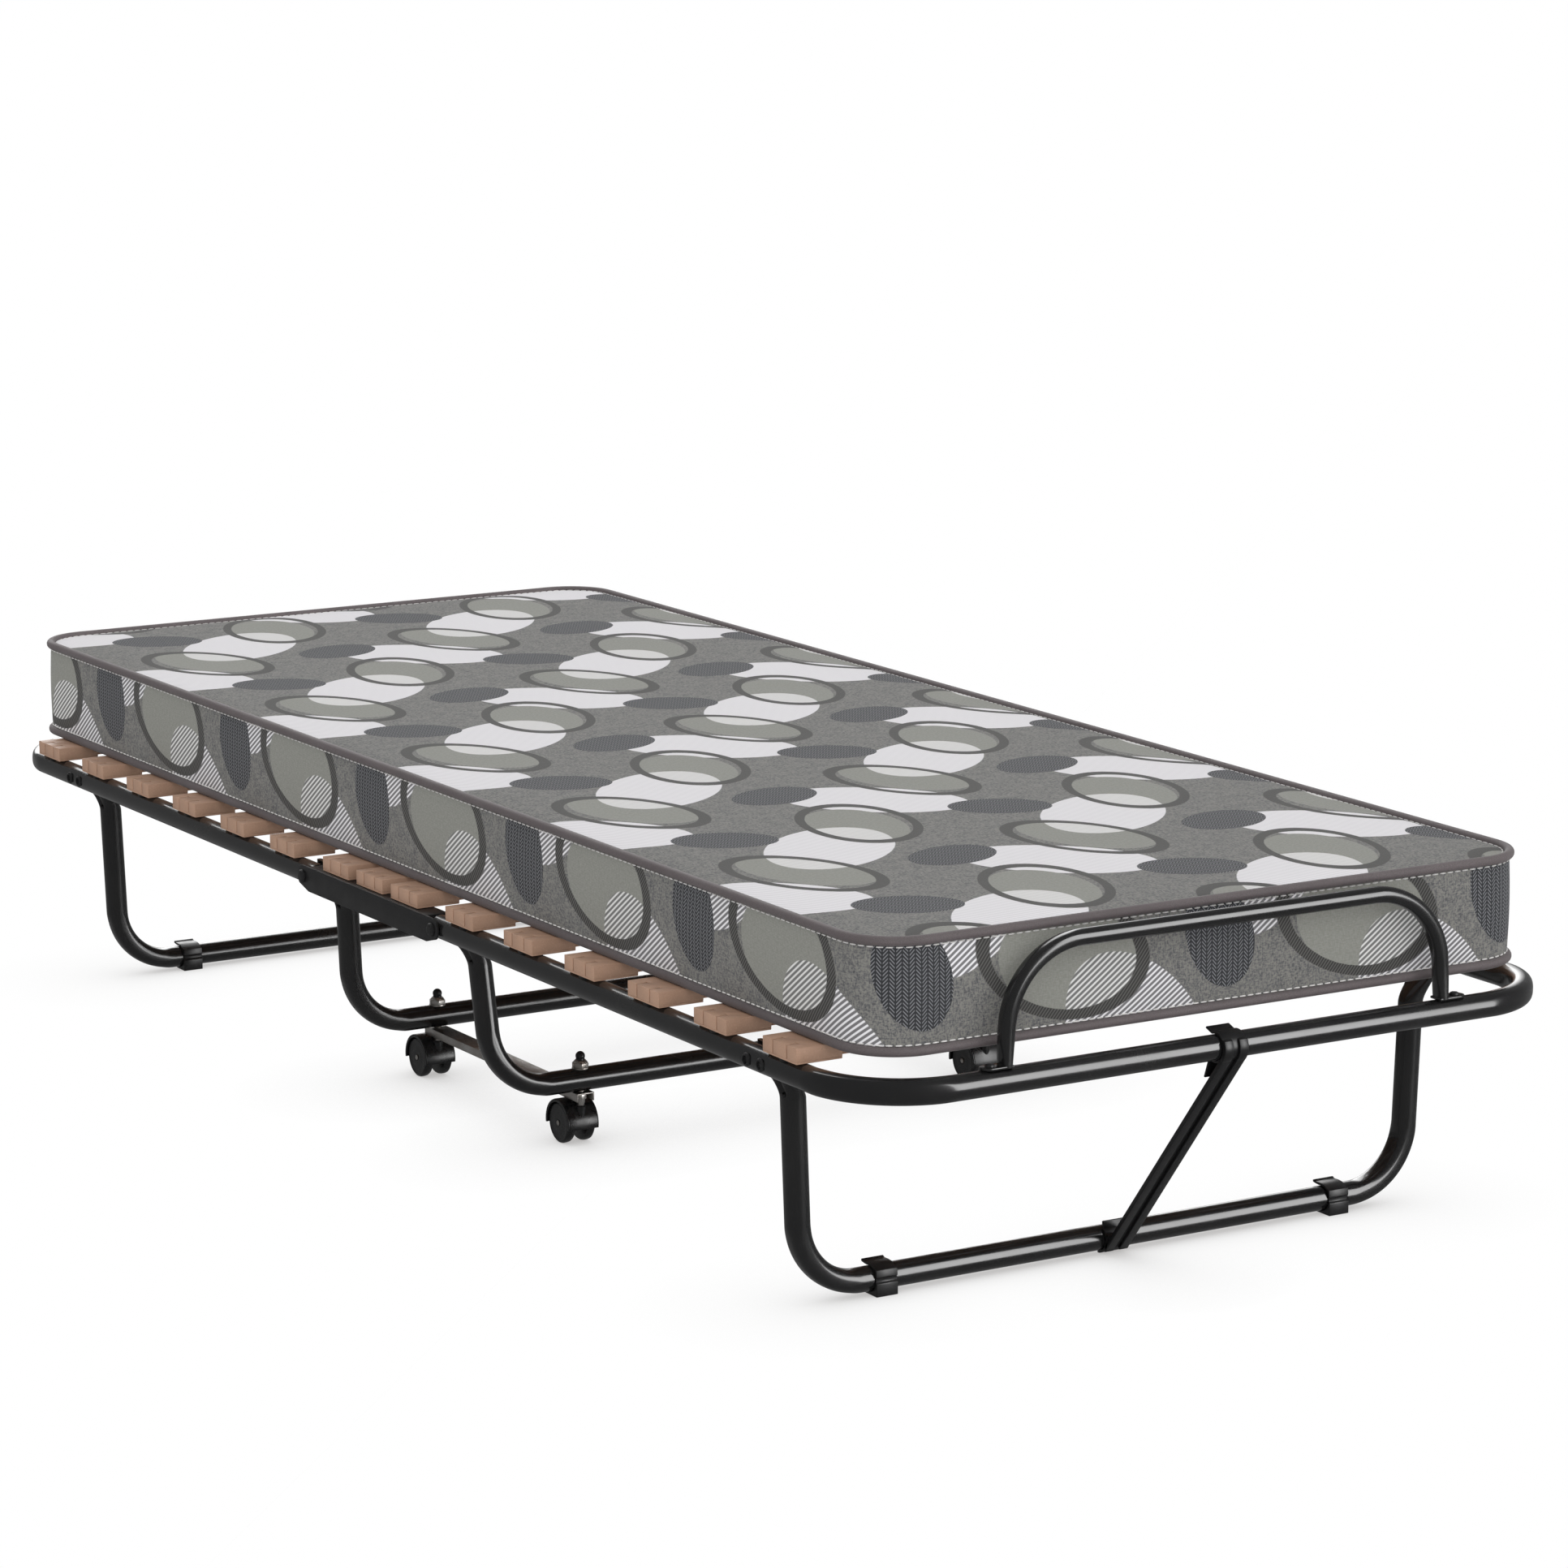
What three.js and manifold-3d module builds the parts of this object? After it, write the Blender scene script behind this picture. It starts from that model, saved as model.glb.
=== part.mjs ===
// A folding rollaway bed: two slatted half frames that hinge up from a rolling base in the middle.
// Millimetres. +X is the bed's width, +Y runs to the head end, +Z is up.
// The origin is on the floor under the middle of the frame.
import * as THREE from 'three';
import { mergeVertices } from 'three/addons/utils/BufferGeometryUtils.js';
import Module from 'manifold-3d';

const wasm = await Module();
wasm.setup();

// ---- driving dimensions ----
const GAP = 0.3;               // between pieces that touch
const TUBE_R = 12;             // frame and leg tube
const TUBE_SIDES = 16;
const BEND_STEPS = 5;          // rings in one bend

const RAIL_X = 388;            // side rail centre line
const RAIL_Z = 239.5;
const RAIL_END_Y = 934;        // end rail centre line
const RAIL_BEND = 92;
const PIVOT_Y = 145.4;         // the bolts that each half folds about
const RAIL_STUB = 8;           // rail beyond its bolt

const LEG_PIVOT_Y = 752;       // the rivets that the end legs fold about
const LEG_TOP_X = 351;         // leg post under the pressed end
const LEG_FOOT_X = 344;        // where post and crossbar would meet
const LEG_BEND = 66;
const LEG_TOP_Z = 250;
const PRESS_FROM_Z = 192;      // the post is pressed flat above this
const PRESS_STEPS_Z = [200, 208, 216];
const PRESS_FULL_Z = 224;
const PRESS_X = 372;           // middle of the pressed end, against the rail
const PRESS_THIN = 0.27;       // pressed thickness over the tube's
const PRESS_WIDE = 1.4;        // pressed width over the tube's
const END_BAR_Z = 15;          // crossbar of an end leg
const MID_BAR_Z = 69;          // crossbar of a leg of the rolling base
const MID_BAR_Y = { head: 150, foot: -163 };

const BOLT_R = 4;
const BORE_R = BOLT_R + GAP;
const BOLT_HEAD = { r: 7, high: 3.2 };
const RIVET_HEAD = { r: 6.4, high: 2.2 };
const TAIL = { r: 6, long: 4 }; // a bolt's or rivet's inner head

const SLAT = { halfLength: 398, halfWidth: 29, bottom: 252, middleBottom: 255, top: 267, cap: 48 };
const SLAT_PITCH = 122.2;
const HEAD_SLAT_Y = 815;       // outermost slat of the head half
const FOOT_SLAT_Y = -806;      // outermost slat of the foot half
const BASE_SLAT_PITCH = 77;
const BASE_SLAT_Y = 78;

const BRACKET = { inner: 400.4, outer: 403, flangeTo: 377, bottom: 225, lipTo: 390, flangeEnd: 133 };
const SHEET = 2.4;             // thickness of the bracket's flange and lip

const CASTER_X = 245;
const TRAIL = 18;              // wheel axle behind the swivel
const WHEEL_R = 21;
const AXLE_Z = WHEEL_R;
const WHEEL_IN = 6;
const WHEEL_OUT = 16;
const AXLE_R = 3;
const HOOD_R = 25;
const HOOD_IN = 22.4;
const HOOD_HALF = WHEEL_OUT + 0.5;
const HOOD_SKIRT = 0.15;       // how far the hood runs below the axle, in radians
const WEB_R = 23.5;            // the web between the wheels
const WEB_HALF = 5.5;
const BOSS_R = 6.4;
const BOSS_TOP = 44;
const STEM = { from: 31, collarR: 7.5, nutR: 8.5, nutHigh: 7.5 };
const STEM_DOME = [[5.6, 7], [5.6, 12], [3.6, 15.4], [0, 16.5]]; // radius, height above the crossbar

const LINK = { half: 10, bottom: 47.6, top: 56.6, wall: 1.6, past: 11 };

const BED = { halfWidth: 370, footY: -916, headY: 922, bottom: 267.4, top: 376, corner: 59 };
const BED_SPLIT = 175.4;       // where the cushion's moving halves start

const GUARD = { footX: 243, topX: 237, y: -RAIL_END_Y, z: 360, r: 8, bend: 78 };
const GUARD_TAB = { past: 26, half: 8, high: 2.4, screw: 16 };
const SCREW = { r: 2, into: 14.5, headR: 4.5, headHigh: 2.4 };

const CLIP = { x: 258.5, half: 11.6, front: 14.8, mouth: Math.PI / 6 };
const STRUT = { x: -2, half: 13, near: 12.4, clip: 14.6, face: 17, rib: 1.5, floor: 14 };
const JAW_RAIL = [65, 309];    // degrees the strut's upper jaw covers, from +Y towards +Z
const JAW_LEG = [129, 270];    // the lower jaw is open where the crossbar leaves it
const LIP = { long: 10, half: 1.1 };

// ---- geometry helpers ----

// A path through stations, each a point and the direction there. An extrusion along it takes one
// step between two stations, so straight runs stay long and bends get the rings they need.
class StationPath extends THREE.Curve {
  constructor(stations) {
    super();
    this.stations = stations;
  }
  blend(t, key) {
    const at = t * (this.stations.length - 1);
    const first = Math.min(Math.floor(at), this.stations.length - 2);
    const [low, high] = [this.stations[first][key], this.stations[first + 1][key]];
    return new THREE.Vector3().lerpVectors(low, high, at - first);
  }
  getPoint(t, target = new THREE.Vector3()) {
    return target.copy(this.blend(t, 'point'));
  }
  getPointAt(u, target) {
    return this.getPoint(u, target);
  }
  getTangent(t, target = new THREE.Vector3()) {
    return target.copy(this.blend(t, 'along')).normalize();
  }
  getTangentAt(u, target) {
    return this.getTangent(u, target);
  }
}

// Rounds each inner corner of a polyline. A corner is [x, y, z] or [x, y, z, bend radius].
function roundedPath(corners) {
  const points = corners.map(([x, y, z]) => new THREE.Vector3(x, y, z));
  const along = points.slice(1).map((point, i) => point.clone().sub(points[i]).normalize());
  const stations = [{ point: points[0], along: along[0] }];
  for (let i = 1; i < points.length - 1; i++) {
    const before = along[i - 1];
    const after = along[i];
    const angle = before.angleTo(after);
    const radius = corners[i][3] ?? 0;
    if (radius === 0) {
      stations.push({ point: points[i], along: before.clone().add(after).normalize() });
      continue;
    }
    const side = after.clone().addScaledVector(before, -Math.cos(angle)).normalize();
    const start = points[i].clone().addScaledVector(before, -radius * Math.tan(angle / 2));
    for (let k = 0; k <= BEND_STEPS; k++) {
      const turn = (angle * k) / BEND_STEPS;
      const point = start.clone().addScaledVector(before, radius * Math.sin(turn));
      point.addScaledVector(side, radius * (1 - Math.cos(turn)));
      const way = before.clone().multiplyScalar(Math.cos(turn)).addScaledVector(side, Math.sin(turn));
      stations.push({ point, along: way });
    }
  }
  stations.push({ point: points.at(-1), along: along.at(-1) });
  return new StationPath(stations);
}

function circle(radius, sides) {
  const shape = new THREE.Shape();
  for (let i = 0; i < sides; i++) {
    const angle = (2 * Math.PI * (i + 0.5)) / sides;
    const x = radius * Math.cos(angle);
    const y = radius * Math.sin(angle);
    if (i === 0) shape.moveTo(x, y);
    else shape.lineTo(x, y);
  }
  shape.closePath();
  return shape;
}

function tube(corners, radius, sides = TUBE_SIDES) {
  const path = roundedPath(corners);
  const steps = path.stations.length - 1;
  return new THREE.ExtrudeGeometry(circle(radius, sides), { steps, extrudePath: path });
}

function box(x0, x1, y0, y1, z0, z1) {
  const geometry = new THREE.BoxGeometry(x1 - x0, y1 - y0, z1 - z0);
  return geometry.translate((x0 + x1) / 2, (y0 + y1) / 2, (z0 + z1) / 2);
}

// A rod along X or Z between two places on that axis.
function rodX(radius, x0, x1, y, z, sides = 12) {
  const geometry = new THREE.CylinderGeometry(radius, radius, x1 - x0, sides);
  return geometry.rotateZ(Math.PI / 2).translate((x0 + x1) / 2, y, z);
}

function rodZ(radius, z0, z1, x, y, sides = 12) {
  const geometry = new THREE.CylinderGeometry(radius, radius, z1 - z0, sides);
  return geometry.rotateX(Math.PI / 2).translate(x, y, (z0 + z1) / 2);
}

// A shape drawn in Y and Z, extruded along X.
function plateX(shape, x0, x1, curveSegments = 10) {
  const options = { depth: x1 - x0, bevelEnabled: false, curveSegments };
  const geometry = new THREE.ExtrudeGeometry(shape, options);
  const turn = new THREE.Matrix4().makeBasis(
    new THREE.Vector3(0, 1, 0),
    new THREE.Vector3(0, 0, 1),
    new THREE.Vector3(1, 0, 0),
  );
  return geometry.applyMatrix4(turn).translate(x0, 0, 0);
}

// A profile of [radius, distance along the axis] turned about Z.
function turnedZ(profile, segments) {
  const points = profile.map(([radius, along]) => new THREE.Vector2(radius, along));
  return new THREE.LatheGeometry(points, segments).rotateX(Math.PI / 2);
}

function solid(geometry) {
  const bare = geometry.index ? geometry.toNonIndexed() : geometry.clone();
  bare.deleteAttribute('normal');
  bare.deleteAttribute('uv');
  const merged = mergeVertices(bare, 1e-3);
  const triVerts = [];
  const index = merged.index.array;
  for (let i = 0; i < index.length; i += 3) {
    const [a, b, c] = [index[i], index[i + 1], index[i + 2]];
    if (a !== b && b !== c && c !== a) triVerts.push(a, b, c);
  }
  const vertProperties = new Float32Array(merged.attributes.position.array);
  const mesh = new wasm.Mesh({ numProp: 3, vertProperties, triVerts: new Uint32Array(triVerts) });
  return new wasm.Manifold(mesh);
}

function geometryOf(manifold) {
  const mesh = manifold.getMesh();
  const geometry = new THREE.BufferGeometry();
  geometry.setAttribute('position', new THREE.BufferAttribute(new Float32Array(mesh.vertProperties), 3));
  geometry.setIndex(new THREE.BufferAttribute(new Uint32Array(mesh.triVerts), 1));
  geometry.computeVertexNormals();
  return geometry;
}

function joined(first, ...others) {
  return geometryOf(others.reduce((sum, other) => sum.add(solid(other)), solid(first)));
}

function cut(base, ...tools) {
  return geometryOf(tools.reduce((rest, tool) => rest.subtract(solid(tool)), solid(base)));
}

function mirrorX(geometry) {
  const flipped = geometry.index ? geometry.toNonIndexed() : geometry.clone();
  flipped.scale(-1, 1, 1);
  const position = flipped.attributes.position;
  for (let i = 0; i < position.count; i += 3) {
    const second = new THREE.Vector3().fromBufferAttribute(position, i + 1);
    const third = new THREE.Vector3().fromBufferAttribute(position, i + 2);
    position.setXYZ(i + 1, third.x, third.y, third.z);
    position.setXYZ(i + 2, second.x, second.y, second.z);
  }
  flipped.computeVertexNormals();
  return flipped;
}

// ---- materials ----
const paint = { color: 0x141415, roughness: 0.35, metalness: 0.3 };
const satin = { color: 0x333436, roughness: 0.55, metalness: 0.3 };
const steel = { color: 0xa9a8a8, roughness: 0.35, metalness: 0.9 };
const plastic = { color: 0x151515, roughness: 0.5, metalness: 0 };
const board = { color: 0xaa8771, roughness: 0.7, metalness: 0 };
const cloth = { color: 0x85837f, roughness: 0.9, metalness: 0 };

const bed = new THREE.Group();
function add(name, geometry, look) {
  const mesh = new THREE.Mesh(geometry, new THREE.MeshStandardMaterial(look));
  mesh.name = name;
  bed.add(mesh);
}

const HALVES = [['head', 1], ['foot', -1]];
const SIDES = [['left', -1], ['right', 1]];

// ---- frame ----

// A half frame: one tube bent round its end of the bed, drilled for its bolts and leg rivets, and
// at the foot end for the guard bar's screws.
function halfRail(end) {
  const start = end * (PIVOT_Y - RAIL_STUB);
  const far = end * RAIL_END_Y;
  const corners = [
    [-RAIL_X, start, RAIL_Z],
    [-RAIL_X, far, RAIL_Z, RAIL_BEND],
    [RAIL_X, far, RAIL_Z, RAIL_BEND],
    [RAIL_X, start, RAIL_Z],
  ];
  const drills = [];
  for (const side of [-1, 1]) {
    for (const y of [PIVOT_Y, LEG_PIVOT_Y]) {
      drills.push(rodX(BORE_R, side * RAIL_X - 20, side * RAIL_X + 20, end * y, RAIL_Z));
    }
    if (end < 0) drills.push(rodZ(SCREW.r + GAP, RAIL_Z - 5, RAIL_Z + 20, side * GUARD_SCREW_X, GUARD.y));
  }
  return cut(tube(corners, TUBE_R), ...drills);
}

// A slat with thicker moulded caps at both ends.
function slat(y) {
  const { halfLength, halfWidth, bottom, middleBottom, top, cap } = SLAT;
  const shape = new THREE.Shape();
  shape.moveTo(-halfLength, bottom);
  shape.lineTo(-halfLength + cap, bottom);
  shape.lineTo(-halfLength + cap, middleBottom);
  shape.lineTo(halfLength - cap, middleBottom);
  shape.lineTo(halfLength - cap, bottom);
  shape.lineTo(halfLength, bottom);
  shape.lineTo(halfLength, top);
  shape.lineTo(-halfLength, top);
  const geometry = new THREE.ExtrudeGeometry(shape, { depth: 2 * halfWidth, bevelEnabled: false });
  return geometry.rotateX(Math.PI / 2).translate(0, y + halfWidth, 0);
}

// The side channel that joins both halves: an outer plate round both bolts, a top flange that the
// middle slats lie on, and a bottom lip.
function bracket() {
  const { inner, outer, flangeTo, bottom, lipTo, flangeEnd } = BRACKET;
  const top = RAIL_Z + TUBE_R;
  const low = Math.PI / 4;
  const plate = new THREE.Shape();
  plate.moveTo(-flangeEnd, bottom);
  plate.lineTo(flangeEnd, bottom);
  plate.absarc(PIVOT_Y, RAIL_Z, TUBE_R, -low, Math.PI / 2, false);
  plate.absarc(-PIVOT_Y, RAIL_Z, TUBE_R, Math.PI / 2, Math.PI + low, false);
  const sheet = plateX(plate, inner, outer, 6);
  const flange = box(flangeTo, inner + GAP, -flangeEnd, flangeEnd, top - SHEET, top);
  const lip = box(lipTo, inner + GAP, -flangeEnd, flangeEnd, bottom, bottom + SHEET);
  const drills = [-1, 1].map((end) => rodX(BORE_R, inner - 5, outer + 5, end * PIVOT_Y, RAIL_Z));
  return cut(joined(sheet, flange, lip), ...drills);
}

// A bolt or rivet along X on the right side, from its tail inside the leg to its outer head.
function crossBolt(headFrom, head, y) {
  const inner = PRESS_X - TUBE_R * PRESS_THIN - GAP;
  const headTo = headFrom + head.high;
  const profile = [
    [0, inner - TAIL.long],
    [TAIL.r, inner - TAIL.long],
    [TAIL.r, inner],
    [BOLT_R, inner],
    [BOLT_R, headFrom],
    [head.r, headFrom],
    [head.r - 0.6, headTo - 0.8],
    [head.r * 0.6, headTo],
    [0, headTo],
  ];
  return turnedZ(profile, 12).rotateY(Math.PI / 2).translate(0, y, RAIL_Z);
}

// ---- legs ----

// Presses the tops of a leg's posts flat and sets them out against the rails.
function pressTops(geometry, topY) {
  const position = geometry.attributes.position;
  for (let i = 0; i < position.count; i++) {
    const t = THREE.MathUtils.smoothstep(position.getZ(i), PRESS_FROM_Z, PRESS_FULL_Z);
    const side = Math.sign(position.getX(i));
    const across = Math.abs(position.getX(i)) - LEG_TOP_X;
    const x = THREE.MathUtils.lerp(LEG_TOP_X, PRESS_X, t) + across * THREE.MathUtils.lerp(1, PRESS_THIN, t);
    if (t > 0) position.setX(i, side * x);
    position.setY(i, topY + (position.getY(i) - topY) * THREE.MathUtils.lerp(1, PRESS_WIDE, t));
  }
  return geometry;
}

// A U-shaped leg: two posts from their pressed tops to a crossbar. The base's legs are drilled
// through their crossbars for the casters' bolts.
function leg(topY, barY, barZ, casters = false) {
  const tops = [LEG_TOP_Z, RAIL_Z, PRESS_FULL_Z, ...PRESS_STEPS_Z.toReversed()];
  const lean = (z) => topY + ((barY - topY) * Math.max(0, PRESS_FULL_Z - z)) / (PRESS_FULL_Z - barZ);
  const post = (side) => tops.map((z) => [side * LEG_TOP_X, lean(z), z]);
  const corners = [
    ...post(-1),
    [-LEG_FOOT_X, barY, barZ, LEG_BEND],
    [LEG_FOOT_X, barY, barZ, LEG_BEND],
    ...post(1).reverse(),
  ];
  const drills = [];
  for (const side of [-1, 1]) {
    drills.push(rodX(BORE_R, side * PRESS_X - 12, side * PRESS_X + 12, topY, RAIL_Z));
    if (casters) drills.push(rodZ(BORE_R, barZ - 20, barZ + 20, side * CASTER_X, barY));
  }
  return cut(pressTops(tube(corners, TUBE_R), topY), ...drills);
}

// A moulded foot that clips round an end leg's crossbar: flat front and sole, open at the back.
function footClip(end, x) {
  const y = end * LEG_PIVOT_Y;
  const { half, front, mouth } = CLIP;
  const hold = TUBE_R + 2 * GAP;
  const shape = new THREE.Shape();
  shape.moveTo(y - front, 0);
  shape.lineTo(y + 6, 0);
  shape.lineTo(y + 14, END_BAR_Z - 8);
  shape.lineTo(y + hold * Math.cos(-mouth), END_BAR_Z + hold * Math.sin(-mouth));
  shape.absarc(y, END_BAR_Z, hold, -mouth, Math.PI / 2 - mouth, true);
  shape.lineTo(y + 7, END_BAR_Z + 16.5);
  shape.lineTo(y - 6, END_BAR_Z + 15);
  shape.lineTo(y - front, END_BAR_Z + 9);
  return plateX(shape, x - half, x + half, 14);
}

// ---- rolling base ----

// A channel, open below, that keeps the two lower crossbars of the base apart.
function linkBar() {
  const { half, bottom, top, wall, past } = LINK;
  const from = MID_BAR_Y.foot - past;
  const to = MID_BAR_Y.head + past;
  const outer = box(CASTER_X - half, CASTER_X + half, from, to, bottom, top);
  const inside = half - wall;
  const hollow = box(CASTER_X - inside, CASTER_X + inside, from - 1, to + 1, bottom - 1, top - wall);
  const drills = Object.values(MID_BAR_Y).map((y) => rodZ(BORE_R, bottom, top + 5, CASTER_X, y));
  return cut(outer, hollow, ...drills);
}

// The bolt of a caster, from its pin in the housing to a domed nut on the crossbar.
function casterStem(y) {
  const onBar = MID_BAR_Z + TUBE_R + GAP;
  const { from, collarR, nutR, nutHigh } = STEM;
  const shaft = turnedZ([[0, from], [BOLT_R, from], [BOLT_R, onBar + 1], [0, onBar + 1]], 12);
  const collar = rodZ(collarR, BOSS_TOP + GAP, LINK.bottom - GAP, 0, 0, 6);
  const nut = rodZ(nutR, onBar, onBar + nutHigh, 0, 0, 6);
  const domeProfile = STEM_DOME.map(([radius, high]) => [radius, onBar + high]);
  const dome = turnedZ([[0, domeProfile[0][1]], ...domeProfile], 12);
  return joined(shaft, collar, nut, dome).translate(CASTER_X, y, 0);
}

// A caster's housing: a hood over both wheels, a web between them, the axle and a socket.
function casterHousing(y) {
  const hood = new THREE.Shape();
  hood.absarc(0, 0, HOOD_R, -HOOD_SKIRT, Math.PI + HOOD_SKIRT, false);
  hood.absarc(0, 0, HOOD_IN, Math.PI + HOOD_SKIRT, -HOOD_SKIRT, true);
  const web = new THREE.Shape();
  web.absarc(0, 0, WEB_R, 0, Math.PI, false);
  web.absarc(0, 0, AXLE_R + 3, Math.PI, 2 * Math.PI, false);
  const axle = rodX(AXLE_R, -WHEEL_OUT + 1, WHEEL_OUT - 1, 0, 0, 8);
  const boss = rodZ(BOSS_R, WEB_R - 4, BOSS_TOP - AXLE_Z, 0, -TRAIL, 10);
  const socket = rodZ(BORE_R, STEM.from - GAP - AXLE_Z, 60, 0, -TRAIL, 10);
  const shell = plateX(hood, -HOOD_HALF, HOOD_HALF);
  const middle = plateX(web, -WEB_HALF, WEB_HALF);
  return cut(joined(shell, middle, axle, boss), socket).translate(CASTER_X, y + TRAIL, AXLE_Z);
}

function wheel(side, y) {
  const bore = AXLE_R + GAP;
  const profile = [
    [bore, WHEEL_IN],
    [WHEEL_R - 2, WHEEL_IN],
    [WHEEL_R, WHEEL_IN + 1.5],
    [WHEEL_R, WHEEL_OUT - 2],
    [WHEEL_R - 2, WHEEL_OUT],
    [bore, WHEEL_OUT],
    [bore, WHEEL_IN],
  ];
  return turnedZ(profile, 16).rotateY((side * Math.PI) / 2).translate(CASTER_X, y + TRAIL, AXLE_Z);
}

// ---- foot end ----

const GUARD_SCREW_X = GUARD.footX + GUARD_TAB.screw;

// The bar that stops the cushion sliding off the foot end, with a flat tab at each foot.
function guardBar() {
  const { footX, topX, y, z, r, bend } = GUARD;
  const { past, half, high } = GUARD_TAB;
  const seat = RAIL_Z + TUBE_R + GAP;
  const corners = [
    [-footX, y, seat + 1],
    [-topX, y, z, bend],
    [topX, y, z, bend],
    [footX, y, seat + 1],
  ];
  const pieces = [];
  const drills = [];
  for (const side of [-1, 1]) {
    const inner = side * (footX - r);
    const outer = side * (footX + past);
    pieces.push(box(Math.min(inner, outer), Math.max(inner, outer), y - half, y + half, seat, seat + high));
    drills.push(rodZ(SCREW.r + GAP, seat - 5, seat + 9, side * GUARD_SCREW_X, y));
  }
  return cut(joined(tube(corners, r, 12), ...pieces), ...drills);
}

function guardScrew() {
  const { r, into, headR, headHigh } = SCREW;
  const head = RAIL_Z + TUBE_R + 2 * GAP + GUARD_TAB.high;
  const profile = [
    [0, head - into - GUARD_TAB.high],
    [r, head - into - GUARD_TAB.high],
    [r, head],
    [headR, head],
    [headR - 0.5, head + headHigh - 0.6],
    [0, head + headHigh],
  ];
  return turnedZ(profile, 12).translate(GUARD_SCREW_X, GUARD.y, 0);
}

// An arc-shaped jaw round a tube, between two angles in degrees.
function jaw(centre, [from, to]) {
  const a = THREE.MathUtils.degToRad(from);
  const b = THREE.MathUtils.degToRad(to);
  const shape = new THREE.Shape();
  shape.absarc(centre.x, centre.y, STRUT.clip, a, b, false);
  shape.absarc(centre.x, centre.y, STRUT.near, b, a, true);
  return plateX(shape, STRUT.x - STRUT.half, STRUT.x + STRUT.half, 14);
}

// The lip at a jaw's end: a short plate from the jaw at one angle, turned to its own slope.
function jawLip(centre, angle, slope) {
  const at = THREE.MathUtils.degToRad(angle);
  const middle = (STRUT.near + STRUT.clip) / 2;
  const plate = box(STRUT.x - STRUT.half, STRUT.x + STRUT.half, 0, LIP.long, -LIP.half, LIP.half);
  plate.rotateX(THREE.MathUtils.degToRad(slope));
  return plate.translate(0, centre.x + middle * Math.cos(at), centre.y + middle * Math.sin(at));
}

// The plastic strut that clips onto the foot rail and onto the foot leg's crossbar.
function strut() {
  const { x, half, near, face, rib, floor } = STRUT;
  const rail = new THREE.Vector2(-RAIL_END_Y, RAIL_Z);
  const bar = new THREE.Vector2(-LEG_PIVOT_Y, END_BAR_Z);
  const length = rail.distanceTo(bar);
  const slope = Math.atan2(bar.y - rail.y, bar.x - rail.x);
  const place = (geometry) => geometry.rotateX(slope).translate(0, rail.x, rail.y);
  const plate = place(box(x - half, x + half, 0, length, -face, -near));
  const groove = place(box(x - rib, x + rib, -20, length + 20, -face - 1, -floor));
  const lips = [jawLip(rail, 67, 20), jawLip(rail, 307, -70), jawLip(bar, 131, 80)];
  return cut(joined(jaw(rail, JAW_RAIL), jaw(bar, JAW_LEG), plate, ...lips), groove);
}

// ---- cushion ----

// A length of the cushion between two places along Y, with round corners at its free end.
function cushion(from, to, freeEnd) {
  const { halfWidth, bottom, top, corner } = BED;
  const shape = new THREE.Shape();
  const inset = halfWidth - corner;
  if (freeEnd > 0) {
    shape.moveTo(halfWidth, to - corner);
    shape.absarc(inset, to - corner, corner, 0, Math.PI / 2, false);
    shape.absarc(-inset, to - corner, corner, Math.PI / 2, Math.PI, false);
  } else {
    shape.moveTo(halfWidth, to);
    shape.lineTo(-halfWidth, to);
  }
  if (freeEnd < 0) {
    shape.absarc(-inset, from + corner, corner, Math.PI, 1.5 * Math.PI, false);
    shape.absarc(inset, from + corner, corner, 1.5 * Math.PI, 2 * Math.PI, false);
  } else {
    shape.lineTo(-halfWidth, from);
    shape.lineTo(halfWidth, from);
  }
  const options = { depth: top - bottom, bevelEnabled: false, curveSegments: 8 };
  return new THREE.ExtrudeGeometry(shape, options).translate(0, 0, bottom);
}

// ---- assembly ----

for (const [half, end] of HALVES) {
  add(`${half}_rail`, halfRail(end), paint);
  for (let i = 0; i < 6; i++) {
    const y = end > 0 ? HEAD_SLAT_Y - i * SLAT_PITCH : FOOT_SLAT_Y + i * SLAT_PITCH;
    add(`${half}_slat_${i + 1}`, slat(y), board);
  }
  add(`${half}_leg`, leg(end * LEG_PIVOT_Y, end * LEG_PIVOT_Y, END_BAR_Z), paint);
  add(`base_leg_${half}`, leg(end * PIVOT_Y, MID_BAR_Y[half], MID_BAR_Z, true), paint);
}

for (let i = 0; i < 3; i++) {
  add(`base_slat_${i + 1}`, slat(BASE_SLAT_Y - i * BASE_SLAT_PITCH), board);
}

const boltSeat = BRACKET.outer + GAP;
const rivetSeat = RAIL_X + TUBE_R + GAP;
for (const [side, way] of SIDES) {
  const placed = (geometry) => (way > 0 ? geometry : mirrorX(geometry));
  add(`bracket_${side}`, placed(bracket()), satin);
  add(`link_bar_${side}`, placed(linkBar()), steel);
  for (const [half, end] of HALVES) {
    const y = MID_BAR_Y[half];
    add(`hinge_bolt_${half}_${side}`, placed(crossBolt(boltSeat, BOLT_HEAD, end * PIVOT_Y)), satin);
    add(`leg_rivet_${half}_${side}`, placed(crossBolt(rivetSeat, RIVET_HEAD, end * LEG_PIVOT_Y)), satin);
    add(`foot_clip_${half}_${side}`, footClip(end, way * CLIP.x), plastic);
    add(`caster_stem_${half}_${side}`, placed(casterStem(y)), steel);
    add(`caster_housing_${half}_${side}`, placed(casterHousing(y)), plastic);
    add(`wheel_outer_${half}_${side}`, placed(wheel(1, y)), plastic);
    add(`wheel_inner_${half}_${side}`, placed(wheel(-1, y)), plastic);
  }
  add(`guard_screw_${side}`, placed(guardScrew()), steel);
}

add('guard_bar', guardBar(), paint);
add('strut', strut(), plastic);
add('cushion_head', cushion(BED_SPLIT, BED.headY, 1), cloth);
add('cushion_middle', cushion(-BED_SPLIT + GAP, BED_SPLIT - GAP, 0), cloth);
add('cushion_foot', cushion(BED.footY, -BED_SPLIT, -1), cloth);

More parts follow.
